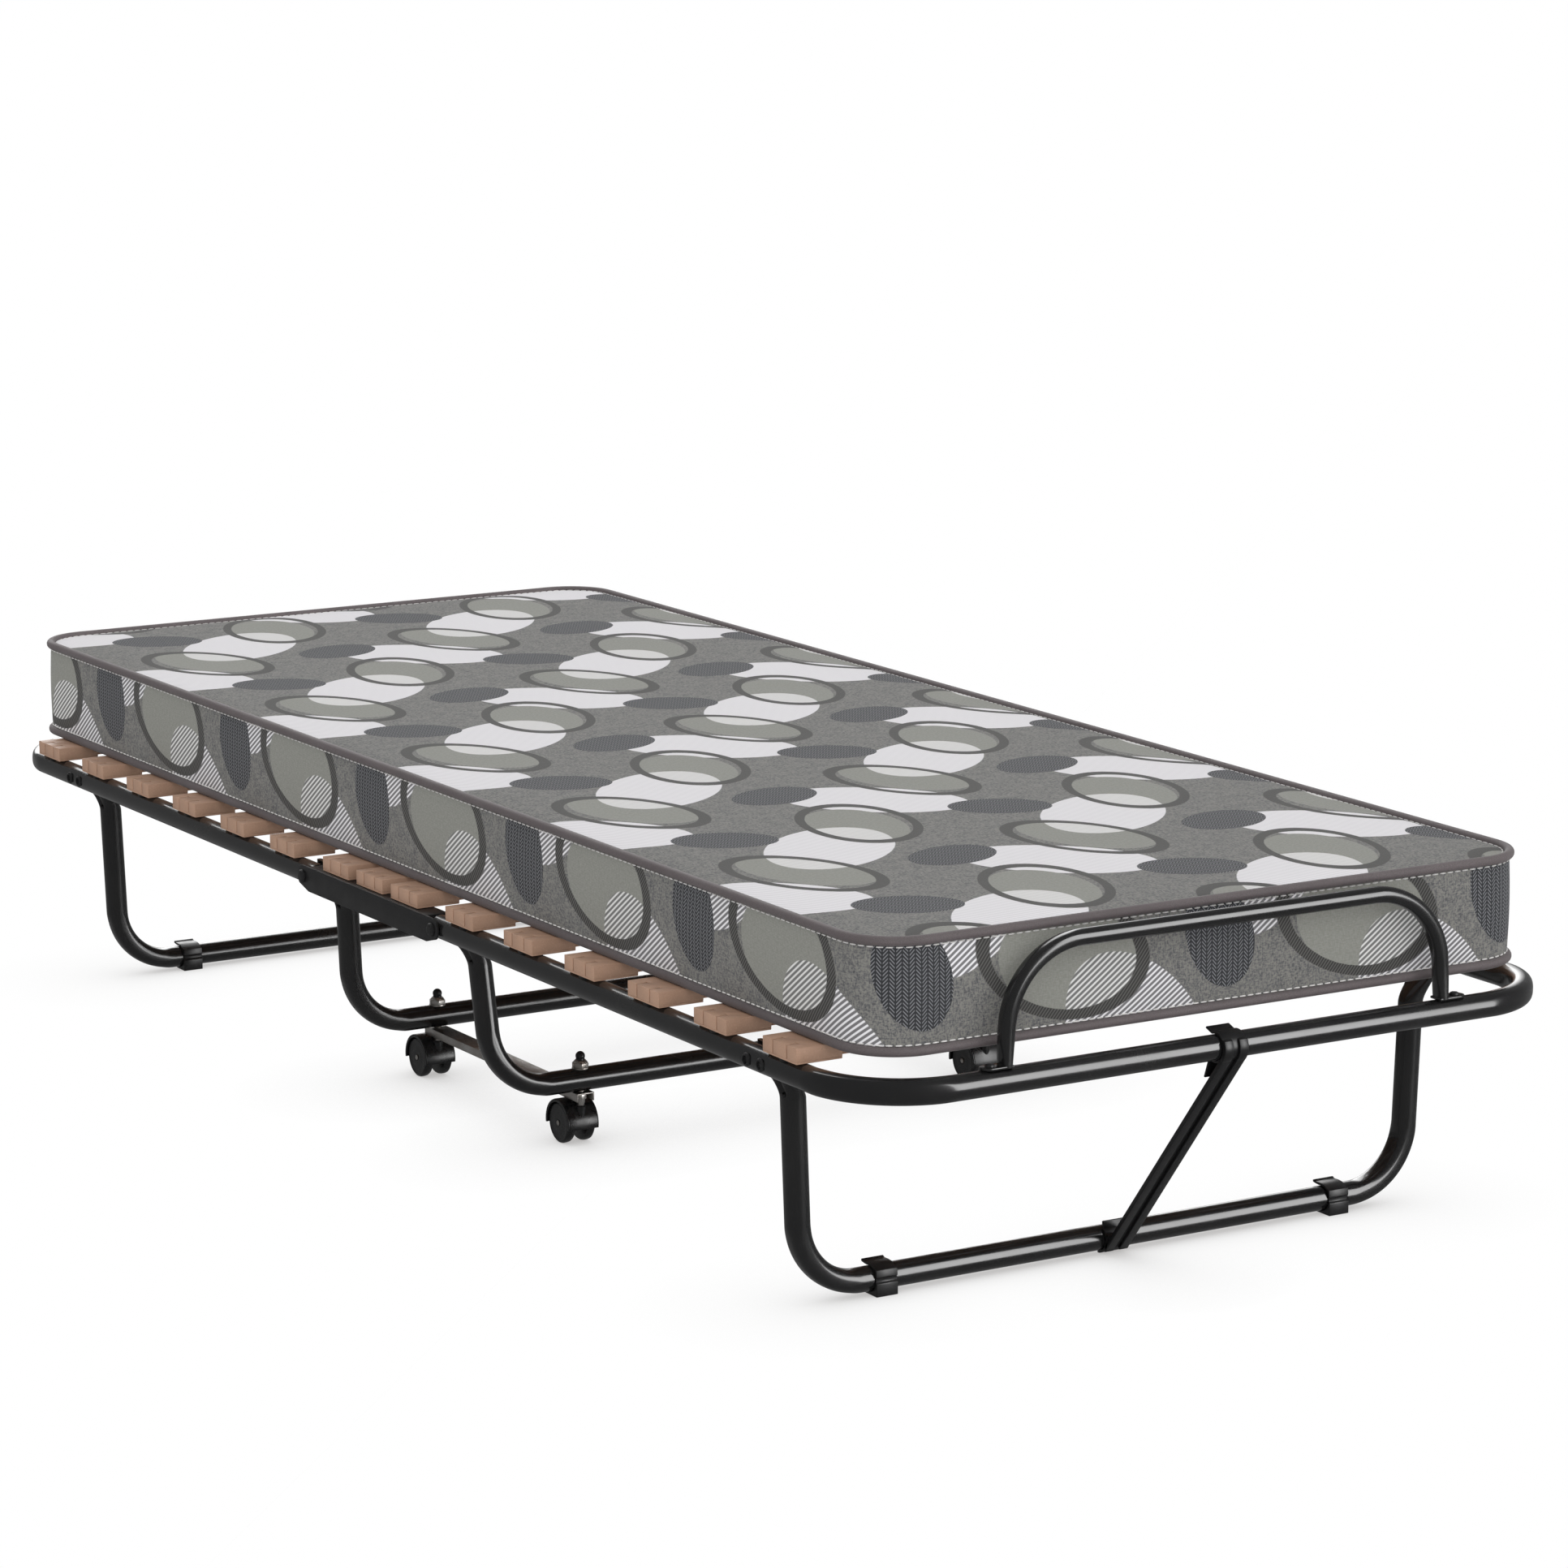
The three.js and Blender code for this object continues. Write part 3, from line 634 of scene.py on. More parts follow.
def leg(name, top_y, bar_y, bar_z, body, node):
    """A U-shaped leg from its pressed tops down to its crossbar."""
    step = 2 * MM
    heights = [LEG_TOP_Z - step * i for i in range(int((LEG_TOP_Z - PRESS_FROM_Z) / step) + 1)]

    def post(side):
        made = []
        for z in heights:
            lean = (bar_y - top_y) * max(0, PRESS_FULL_Z - z) / (PRESS_FULL_Z - bar_z)
            made.append((side * LEG_TOP_X, top_y + lean, z))
        return made

    corners = [
        *post(-1),
        (-LEG_FOOT_X, bar_y, bar_z, LEG_BEND),
        (LEG_FOOT_X, bar_y, bar_z, LEG_BEND),
        *post(1)[::-1],
    ]
    shape = swept(stations(corners, 26), leg_section, Y, 72, dent=leg_crease)
    pin = lathe([(0, -2.5 * MM), (2.4 * MM, -2.1 * MM), (2.4 * MM, 0), (1.7 * MM, 1.3 * MM),
                 (0, 1.9 * MM)], 20)
    foot = next(Vector(v) for v in post(1) if v[2] < CREASE_LOW + 3 * MM)
    half_width, _, _, shift = leg_section(foot, 0)
    turn = math.radians(CREASE_FROM - 180)
    place = foot + shift + X * half_width * math.cos(turn) - Y * TUBE_R * math.sin(turn)
    pin = pin.moved(TO_X).at(*place)
    piece(name, shape + pin + pin.mirrored(), PAINT, body, [node])


def side_bracket(side, way):
    """The channel that joins both halves: a plate with rolled ends, a top flange and a bottom lip."""
    low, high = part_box(f"bracket_{side}")
    outer = max(abs(low.x), abs(high.x))
    inner = outer - 2.6 * MM
    chamfer = 133 * MM
    turn = math.degrees(math.pi / 4)
    outline = [(-chamfer, low.z), (chamfer, low.z)]
    outline += arc((PIVOT_Y, RAIL_Z), TUBE_R, -turn, 90, 12)
    outline += arc((-PIVOT_Y, RAIL_Z), TUBE_R, 90, 180 + turn, 12)
    plate = extruded(outline, inner, outer).bevelled(0.8 * MM, 3, 50)
    sheet = 2.4 * MM
    top = RAIL_Z + TUBE_R
    flange = box((377 * MM, -chamfer, top - sheet), (inner + GAP, chamfer, top)).bevelled(0.8 * MM)
    lip = box((390 * MM, -chamfer, low.z), (inner + GAP, chamfer, low.z + sheet)).bevelled(0.8 * MM)
    shape = total([plate, flange, lip])
    shape = shape if way > 0 else shape.mirrored()
    piece(f"side_bracket_{side}", shape, SATIN, "rolling_base", [f"bracket_{side}"])


def screw_head(radius, high, slot=True):
    """A head on Z, from 0 to its height: domed with a slot drawn as a raised line, or hollow."""
    rim = [(0, 0), (radius, 0), (radius, 0.35 * high), (radius * 0.86, 0.8 * high)]
    if slot:
        dome = [(radius * 0.6, 0.97 * high), (radius * 0.3, high), (0, high)]
        line_low = (-radius * 0.62, -0.5 * MM, high - 0.2 * MM)
        line_high = (radius * 0.62, 0.5 * MM, high + 0.05 * MM)
        return lathe(rim + dome), box(line_low, line_high)
    hollow = [(radius * 0.7, high), (radius * 0.6, 0.9 * high), (radius * 0.55, 0.2 * high), (0, 0.1 * high)]
    return lathe(rim + hollow), Shape()


BOLT_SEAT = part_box("bracket_right")[1].x + GAP
RIVET_SEAT = RAIL_X + TUBE_R - 0.4 * MM
STOP_BACK = 24 * MM          # from a leg's pivot back to its stop rivet


def cross_bolt(name, node, body, way, y, seat, radius, high, slot):
    """A bolt or rivet through the side: a head outside, a shank, and a tail inside the leg."""
    low, high_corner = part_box(node)
    tail = min(abs(low.x), abs(high_corner.x))
    head, groove = screw_head(radius, high, slot)
    head = head.moved(Matrix.Rotation(math.radians(35), 4, "Z"))
    groove = groove.moved(Matrix.Rotation(math.radians(35), 4, "Z"))
    shank = lathe([(0, tail - seat), (6 * MM, tail - seat), (6 * MM, tail + 3 * MM - seat),
                   (4 * MM, tail + 4 * MM - seat), (4 * MM, 0.1 * MM), (0, 0.1 * MM)], 24)
    shape = (head + groove + shank).moved(TO_X).at(seat, y, RAIL_Z)
    shape = shape if way > 0 else shape.mirrored()
    piece(name, shape, SATIN, body, [node])


def stop_rivet(half, side, way, y):
    """The second rivet of each pair, which stops the leg's swing."""
    head, _ = screw_head(6.4 * MM, 2.2 * MM, False)
    inner_end = 1.5 * MM - 2 * TUBE_R
    tail = lathe([(0, inner_end), (4 * MM, inner_end), (4 * MM, 0.1 * MM), (0, 0.1 * MM)], 20)
    shape = (head + tail).moved(TO_X).at(RIVET_SEAT, y, RAIL_Z)
    shape = shape if way > 0 else shape.mirrored()
    piece(f"stop_rivet_{half}_{side}", shape, SATIN, f"{half}_section")


for half, end in HALVES:
    half_rail(half, end)
    bar_y, bar_z = middle(f"{half}_leg").y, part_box(f"{half}_leg")[0].z + rail_flat
    leg(f"{half}_leg_tube", end * LEG_PIVOT_Y, bar_y, bar_z, f"{half}_leg", f"{half}_leg")
    bar_y, bar_z = middle(f"caster_stem_{half}_right").y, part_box(f"base_leg_{half}")[0].z + rail_flat
    leg(f"base_leg_tube_{half}", end * PIVOT_Y, bar_y, bar_z, "rolling_base", f"base_leg_{half}")

for side, way in SIDES:
    side_bracket(side, way)
    for half, end in HALVES:
        cross_bolt(f"bolt_{half}_{side}", f"hinge_bolt_{half}_{side}", "rolling_base", way,
                   end * PIVOT_Y, BOLT_SEAT, 7 * MM, 3.2 * MM, True)
        cross_bolt(f"rivet_{half}_{side}", f"leg_rivet_{half}_{side}", f"{half}_section", way,
                   end * LEG_PIVOT_Y, RIVET_SEAT, 6.4 * MM, 2.6 * MM, False)
        stop_rivet(half, side, way, end * LEG_PIVOT_Y - STOP_BACK)


# ---- slats ----


def slat_end(bottom, top, tip, length, half_width):
    """A moulded cap whose end is slit twice, with a short cross cut to each slit. It points to -X."""
    slit = 0.8 * MM
    depth = 11 * MM
    tick = 3.2 * MM
    cross_end = tip + depth + 1.2 * MM
    floor = bottom + 2 * MM
    outline = [(tip + length, -half_width), (tip + length, half_width), (tip, half_width)]
    for y in (0.41 * half_width, -0.41 * half_width):
        outline += [(tip, y + slit), (tip + depth, y + slit), (tip + depth, y + tick), (cross_end, y + tick),
                    (cross_end, y - tick), (tip + depth, y - tick), (tip + depth, y - slit), (tip, y - slit)]
    outline.append((tip, -half_width))
    upper = upright(outline[::-1], floor, top)
    lower = box((tip, -half_width, bottom), (tip + length, half_width, floor))
    return upper.bevelled(0.35 * MM, 2) + lower.bevelled(0.4 * MM, 1)


def slat(node, body):
    low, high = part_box(node)
    y = (low.y + high.y) / 2
    half_width = (high.y - low.y) / 2
    cap = 48 * MM
    board = box((low.x + 14 * MM, y - half_width + 2 * MM, low.z + 3 * MM),
                (high.x - 14 * MM, y + half_width - 2 * MM, high.z - 0.7 * MM)).bevelled(1.2 * MM, 2)
    piece(f"{node}_board", board, BOARD, body, [node])
    end = slat_end(low.z, high.z, low.x, cap, half_width)
    caps = end.at(0, y, 0) + end.mirrored().at(0, y, 0)
    piece(f"{node}_caps", caps, CAP, body)
    # Black plastic pegs under both ends of the slat. They are flared wide, so they are partly painted shade:
    # dark cones that also stand in for the shadow under each cap where it overhangs the rail.
    peg_and_shade_x = RAIL_X if body != "rolling_base" else RAIL_X - 1 * MM
    peg_and_shade = lathe([(0, -9 * MM), (5 * MM, -9 * MM), (8.5 * MM, -3 * MM), (9.5 * MM, -0.1 * MM),
                 (0, -0.1 * MM)], 28)
    pegs_and_shade = peg_and_shade.at(-peg_and_shade_x, y, low.z) + peg_and_shade.at(peg_and_shade_x, y, low.z)
    piece(f"{node}_pegs", pegs_and_shade, PLASTIC, body)


for half, _ in HALVES:
    for i in range(1, 7):
        slat(f"{half}_slat_{i}", f"{half}_section")
for i in range(1, 4):
    slat(f"base_slat_{i}", "rolling_base")


# ---- rolling base ----


def link_bar(side):
    """A zinc channel, open below, with rolled edges and its ends cut square."""
    low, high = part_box(f"link_bar_{side}")
    wall = 1.6 * MM
    x0, x1, z0, z1 = low.x, high.x, low.z, high.z
    outline = [(x0, z0), (x0, z1), (x1, z1), (x1, z0), (x1 - wall, z0), (x1 - wall, z1 - wall),
               (x0 + wall, z1 - wall), (x0 + wall, z0)]
    turn = Matrix(((0, 1, 0, 0), (1, 0, 0, 0), (0, 0, 1, 0), (0, 0, 0, 1)))
    shape = extruded(outline, low.y, high.y).moved(turn).bevelled(0.7 * MM, 3)
    piece(f"link_channel_{side}", shape, ZINC, "rolling_base", [f"link_bar_{side}"])


def hexagon(radius):
    return [(radius * math.cos(math.radians(60 * i + 12)), radius * math.sin(math.radians(60 * i + 12)))
            for i in range(6)]


def caster_stem(name, node):
    """A stem with its collar under the channel, and above the crossbar a washer and a nut."""
    low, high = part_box(node)
    x, y = (low.x + high.x) / 2, (low.y + high.y) / 2
    on_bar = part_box("base_leg_head")[0].z + rail_flat + TUBE_R
    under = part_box("link_bar_right")[0].z - GAP
    shank = lathe([(0, low.z), (3.4 * MM, low.z), (4 * MM, low.z + 0.8 * MM), (4 * MM, on_bar + 2 * MM),
                   (0, on_bar + 2 * MM)], 28)
    collar = upright(hexagon(6.6 * MM), under + 1.6 * MM, under + 6.6 * MM).bevelled(0.5 * MM)
    barrel = lathe([(0, under - 9 * MM), (3.2 * MM, under - 9 * MM), (3.6 * MM, under - 4 * MM),
                    (4.6 * MM, under - 2.6 * MM), (4.6 * MM, under + 2 * MM), (0, under + 2 * MM)], 32)
    seat = lathe([(0, on_bar - 0.9 * MM), (8.6 * MM, on_bar - 0.9 * MM), (8.8 * MM, on_bar - 0.3 * MM),
                  (8.6 * MM, on_bar + 0.5 * MM), (0, on_bar + 0.5 * MM)], 36)
    nut = upright(hexagon(8.9 * MM), on_bar + 0.2 * MM, on_bar + 5.6 * MM).bevelled(0.6 * MM, 3)
    neck = lathe([(0, on_bar + 5 * MM), (7.6 * MM, on_bar + 5 * MM), (7.4 * MM, on_bar + 6 * MM),
                  (5.6 * MM, on_bar + 8.2 * MM), (0, on_bar + 8.2 * MM)], 32)
    piece(f"{name}_steel", total([shank, collar, barrel, seat, nut, neck]).at(x, y, 0), ZINC, "rolling_base",
          [node])
    base = on_bar + 8 * MM
    dome = [(0, base), (4.5 * MM, base), (4.6 * MM, base + 1.4 * MM)]
    dome += [(r, base + 4.2 * MM + h) for r, h in arc((0, 0), 4.9 * MM, -28, 82, 12)]
    dome.append((0, base + 9.1 * MM))
    piece(f"{name}_dome", lathe(dome, 32).at(x, y, 0), PLASTIC, "rolling_base")


HOOD_R = 25 * MM
HOOD_IN = 22.4 * MM
HOOD_HALF = 16.5 * MM
WEB_R = 23.5 * MM


def caster_housing(name, node, axle, stem_y):
    """A hood over both wheels with thin side rims, a web between the wheels, and the stem's boss."""
    hood = arc((0, 0), HOOD_R, -9, 189, 44) + arc((0, 0), HOOD_IN, 189, -9, 44)
    shell = extruded(hood, -HOOD_HALF, HOOD_HALF).bevelled(0.7 * MM, 3, 40)
    rims = []
    rim = arc((0, 0), HOOD_R - 0.3 * MM, -9, 189, 44) + arc((0, 0), HOOD_R - 3.4 * MM, 189, -9, 44)
    for side in (-1, 1):
        ends = sorted((side * (HOOD_HALF - 0.4 * MM), side * (HOOD_HALF + 0.9 * MM)))
        rims.append(extruded(rim, *ends).bevelled(0.4 * MM, 2, 40))
    web = extruded(arc((0, 0), WEB_R, 0, 180, 36) + arc((0, 0), 6 * MM, 180, 360, 18), -5.5 * MM, 5.5 * MM)
    boss_top = 20.5 * MM
    boss = lathe([(0, -2 * MM), (4.9 * MM, -2 * MM), (5.4 * MM, boss_top - 0.8 * MM),
                  (4.6 * MM, boss_top), (0, boss_top)], 40)
    boss = boss.at(0, stem_y - axle.y, 0)
    pin = lathe([(0, -15 * MM), (3 * MM, -15 * MM), (3 * MM, 15 * MM), (0, 15 * MM)], 24).moved(TO_X)
    shape = total([shell, *rims, web.bevelled(0.5 * MM, 2, 40), boss, pin]).at(*axle)
    piece(f"{name}_hood", shape, HOOD, name, [node])


def wheel(name, body, node, side, axle):
    """A wheel with a rounded tread, a dished face with a rim bead, and a hub."""
    profile = [(3.3, 6), (5, 6), (17.5, 6), (19.6, 6.7), (20.7, 8.4), (21, 10.4), (21, 13.4), (20.5, 14.9),
               (19.4, 15.8), (18.2, 16.1), (17.7, 15.7), (17.2, 15.6), (9.5, 15.9), (5.2, 16.1), (3.3, 15.9)]
    shape = ring([(r * MM, h * MM) for r, h in profile], 56)
    cap = lathe([(0, 15.2 * MM), (2.7 * MM, 15.2 * MM), (2.7 * MM, 16.6 * MM), (1.9 * MM, 17.2 * MM),
                 (0, 17.4 * MM)], 28)
    turn = TO_X if side > 0 else TO_X @ Matrix.Rotation(math.pi, 4, "X")
    piece(f"{name}_tread", shape.moved(turn).at(*axle), HOOD, body, [node])
    piece(f"{name}_axle_cap", cap.moved(turn).at(*axle), ZINC, body)


for side, way in SIDES:
    link_bar(side)
    for half, _ in HALVES:
        corner = f"{half}_{side}"
        caster_stem(f"stem_{corner}", f"caster_stem_{corner}")
        stem_y = middle(f"caster_stem_{corner}").y
        axle = Vector((way * CASTER_X, middle(f"wheel_outer_{corner}").y, middle(f"wheel_outer_{corner}").z))
        caster_housing(f"caster_{corner}", f"caster_housing_{corner}", axle, stem_y)
        wheel(f"outer_{corner}", f"wheels_{corner}", f"wheel_outer_{corner}", way, axle)
        wheel(f"inner_{corner}", f"wheels_{corner}", f"wheel_inner_{corner}", -way, axle)


# ---- feet, guard bar and strut ----


def foot_clip(node, body):
    """A moulded foot that snaps round the crossbar: a stepped front, a flat sole and a flared lip."""
    low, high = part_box(node)
    bar = Vector((0, low.y + 14.8 * MM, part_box("foot_leg")[0].z + rail_flat))
    hold = TUBE_R + 0.4 * MM
    sole = low.z
    front = low.y
    outline = [(front, sole), (bar.y + 6 * MM, sole), (bar.y + 14 * MM, bar.z - 8 * MM)]
    outline += arc((bar.y, bar.z), hold, -30, -285, 44)
    outline += [(bar.y + 8 * MM, bar.z + 12.4 * MM), (bar.y + 12.8 * MM, bar.z + 13.2 * MM),
                (bar.y + 13 * MM, bar.z + 15.4 * MM), (bar.y + 11.2 * MM, bar.z + 16 * MM),
                (bar.y + 8.4 * MM, bar.z + 14.6 * MM), (bar.y + 2 * MM, bar.z + 14.8 * MM),
                (bar.y - 4 * MM, bar.z + 14.2 * MM), (front + 1.4 * MM, bar.z + 10.2 * MM),
                (front + 0.6 * MM, bar.z + 3.4 * MM), (front + 1.8 * MM, bar.z + 2.2 * MM),
                (front + 1.8 * MM, bar.z - 1 * MM), (front, bar.z - 2.6 * MM)]
    shape = extruded(outline, low.x, high.x).bevelled(0.5 * MM, 2, 24)
    piece(f"{node}_moulding", shape, PLASTIC, body, [node])


for half, _ in HALVES:
    for side, _ in SIDES:
        foot_clip(f"foot_clip_{half}_{side}", f"{half}_leg")


def guard_bar():
    """The retaining bar: a thin tube whose feet are pressed into flat tabs, with a screw in each."""
    low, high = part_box("guard_bar")
    foot_x, top_x, radius, bend = 243 * MM, 237 * MM, 8 * MM, 78 * MM
    y = -RAIL_END_Y
    seat = low.z
    top_z = high.z - radius * math.cos(math.pi / 12)
    corners = [
        (-foot_x, y, seat + 1 * MM),
        (-foot_x + 0.3 * MM, y, seat + 9 * MM),
        (-foot_x + 1 * MM, y, seat + 24 * MM),
        (-top_x, y, top_z, bend),
        (top_x, y, top_z, bend),
        (foot_x - 1 * MM, y, seat + 24 * MM),
        (foot_x - 0.3 * MM, y, seat + 9 * MM),
        (foot_x, y, seat + 1 * MM),
    ]

    def section(point, turn):
        flat = 1 - smoothstep(point.z, seat, seat + 26 * MM)
        press = smoothstep(min(turn, 1 - turn), 0, 0.12)
        wide = radius * (1 - 0.05 * press) * mix(1, 0.62, flat)
        return wide, radius * mix(1, 1.08, flat), mix(2 + 0.6 * press, 3, flat), Vector()

    bar = swept(stations(corners, 24), section, Y, 32)
    tabs = []
    for side in (-1, 1):
        outline = [(side * (foot_x - 6 * MM), y - 8 * MM), (side * (foot_x + 18 * MM), y - 8 * MM)]
        turned = arc((0, 0), 8 * MM, -90, 90, 14)
        outline += [(side * (foot_x + 18 * MM + px), y + py) for px, py in turned]
        outline.append((side * (foot_x - 6 * MM), y + 8 * MM))
        outline = outline if side > 0 else outline[::-1]
        tabs.append(upright(outline, seat, seat + 2.4 * MM).bevelled(0.7 * MM, 3))
    piece("guard_bar_tube", total([bar, *tabs]), PAINT, "foot_section", ["guard_bar"])
    for side, _ in SIDES:
        head, groove = screw_head(4.5 * MM, 2.4 * MM)
        node = f"guard_screw_{side}"
        shank = lathe([(0, -14 * MM), (2 * MM, -14 * MM), (2 * MM, 0.1 * MM), (0, 0.1 * MM)], 20)
        cross = groove.moved(Matrix.Rotation(math.pi / 2, 4, "Z"))
        shape = total([head, groove, cross, shank]).at(middle(node).x, y, seat + 2.4 * MM + 0.1 * MM)
        piece(f"{node}_head", shape, SATIN, "foot_section", [node])


def strut():
    """The plastic strut: two rails and a floor between them, and a C-shaped clip at each end."""
    low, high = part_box("strut")
    x0, x1 = low.x, high.x
    rail = Vector((0, -RAIL_END_Y, RAIL_Z))
    bar = Vector((0, middle("foot_leg").y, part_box("foot_leg")[0].z + rail_flat))
    near, clip, face = 12.4 * MM, 14.6 * MM, 17 * MM
    slope = math.atan2(bar.z - rail.z, bar.y - rail.y)
    length = (bar - rail).length
    place = Matrix.Translation(rail) @ Matrix.Rotation(slope, 4, "X")

    def jaw(centre, start, end):
        outline = arc(centre.yz, clip, start, end, 40) + arc(centre.yz, near, end, start, 40)
        return extruded(outline, x0, x1).bevelled(0.5 * MM, 2, 50)

    def lip(centre, angle, slant, long=9 * MM):
        at = math.radians(angle)
        half = 1.1 * MM
        plate = box((x0, -1 * MM, -half), (x1, long, half)).bevelled(0.9 * MM, 3)
        plate = plate.moved(Matrix.Rotation(math.radians(slant), 4, "X"))
        reach = (near + clip) / 2
        return plate.at(0, centre.y + reach * math.cos(at), centre.z + reach * math.sin(at))

    rib = 9.5 * MM
    floor = box((x0 + 1 * MM, 4 * MM, -14.2 * MM), (x1 - 1 * MM, length - 4 * MM, -near - 0.1 * MM))
    left = box((x0, 2 * MM, -face), (x0 + rib, length - 2 * MM, -near)).bevelled(0.7 * MM, 3)
    right = box((x1 - rib, 2 * MM, -face), (x1, length - 2 * MM, -near)).bevelled(0.7 * MM, 3)
    pieces = [jaw(rail, 65, 309), jaw(bar, 129, 270)]
    for centre, angles in ((rail, (140, 232)), (bar, (150, 222))):
        for low_x, high_x in ((x0, x0 + rib), (x1 - rib, x1)):
            rise = arc(centre.yz, face, angles[0] + 12, angles[1], 20)
            outline = [*arc(centre.yz, clip - 0.4 * MM, angles[0], angles[1], 20), *rise[::-1]]
            pieces.append(extruded(outline, low_x, high_x).bevelled(0.6 * MM, 2, 50))
    pieces += [lip(rail, 67, 20, 10 * MM), lip(rail, 307, -70, 22 * MM), lip(bar, 131, 80, 8 * MM)]
    shape = total([floor.moved(place), left.moved(place), right.moved(place), *pieces])
    piece("strut_moulding", shape, PLASTIC, "strut", ["strut"])


guard_bar()
strut()


# ---- mattress ----

SEAM_IN = 3 * MM             # the seams lie this far inside the cushion's outline
SEAM_TOP = bed_high.z - 4.6 * MM
SEAM_BOTTOM = bed_low.z + 4.4 * MM
PANEL_BOTTOM = bed_low.z + 0.6 * MM
PITCH = 11 * MM
SIDE_ROWS = 10
PARTS = ("foot", "middle_foot", "middle_head", "head")
PART_ENDS = (bed_low.y + SEAM_IN, -BED_SPLIT, 0.0, BED_SPLIT, bed_high.y - SEAM_IN)
HALF_W = bed_high.x - SEAM_IN
CORNER = BED_CORNER - SEAM_IN


def spaced(start, end, pitch):
    count = max(1, round(abs(end - start) / pitch))
    return [start + (end - start) * i / count for i in range(count)]


def rounded(x, y):
    """Bends the corners of the rectangular grid onto the cushion's round corners."""
    corner_y = {1: PART_ENDS[-1] - CORNER, -1: PART_ENDS[0] + CORNER}
    side_x, side_y = (1 if x > 0 else -1), (1 if y > 0 else -1)
    centre = (side_x * (HALF_W - CORNER), corner_y[side_y])
    a, b = side_x * (x - centre[0]) / CORNER, side_y * (y - centre[1]) / CORNER
    if a <= 0 or b <= 0:
        return x, y
    reach = max(a, b)
    angle = math.pi / 4 * b / a if a >= b else math.pi / 2 - math.pi / 4 * a / b
    return (centre[0] + side_x * reach * CORNER * math.cos(angle),
            centre[1] + side_y * reach * CORNER * math.sin(angle))


def outline_of(inset, pitch):
    """Places round the cushion: (point in the plane, way out, distance). It starts at the head end's
    right and goes to the left, so the distance is -Y along the left side."""
    x0, corner = HALF_W - inset, CORNER - inset
    low_y, high_y = PART_ENDS[0] + inset, PART_ENDS[-1] - inset
    inner_x, inner_low, inner_high = x0 - corner, low_y + corner, high_y - corner
    runs = [
        ((inner_x, high_y), (-inner_x, high_y)),
        ((-inner_x, inner_high), 90),
        ((-x0, inner_high), (-x0, inner_low)),
        ((-inner_x, inner_low), 180),
        ((-inner_x, low_y), (inner_x, low_y)),
        ((inner_x, inner_low), 270),
        ((x0, inner_low), (x0, inner_high)),
        ((inner_x, inner_high), 0),
    ]
    made = []
    gone = 0.0
    for start, end in runs:
        if isinstance(end, tuple):
            a, b = Vector((*start, 0)), Vector((*end, 0))
            way = (b - a).normalized()
            out = Vector((-way.y, way.x, 0)) * -1
            length = (b - a).length
            count = max(1, round(length / pitch))
            made += [(a + way * length * i / count, out, gone + length * i / count) for i in range(count)]
        else:
            length = corner * math.pi / 2
            count = max(1, round(length / pitch))
            for i in range(count):
                angle = math.radians(end) + math.pi / 2 * i / count
                out = Vector((math.cos(angle), math.sin(angle), 0))
                centre = Vector((*start, 0))
                made.append((centre + out * corner, out, gone + length * i / count))
        gone += length
    zero = next(d for p, out, d in made if out.x < -0.999 and p.y <= inner_high + 1e-6)
    return [(p, out, d - zero - inner_high) for p, out, d in made]


def print_place(x, y):
    """Where a point of the top or bottom panel is on the print."""
    return x + 385 * MM, 930 * MM - y


STRIP_SCALE = 1.012          # the side strips are cut a little larger from the print
STRIP_LEVEL = 277.5 * MM     # the height where the rings' lower edges meet the strip
RING_EDGE = 214 * MM
STRIP_START = 6.4 * MM


def strip_place(gone, z):
    return RING_EDGE + (z - STRIP_LEVEL) / STRIP_SCALE, gone / STRIP_SCALE + STRIP_START


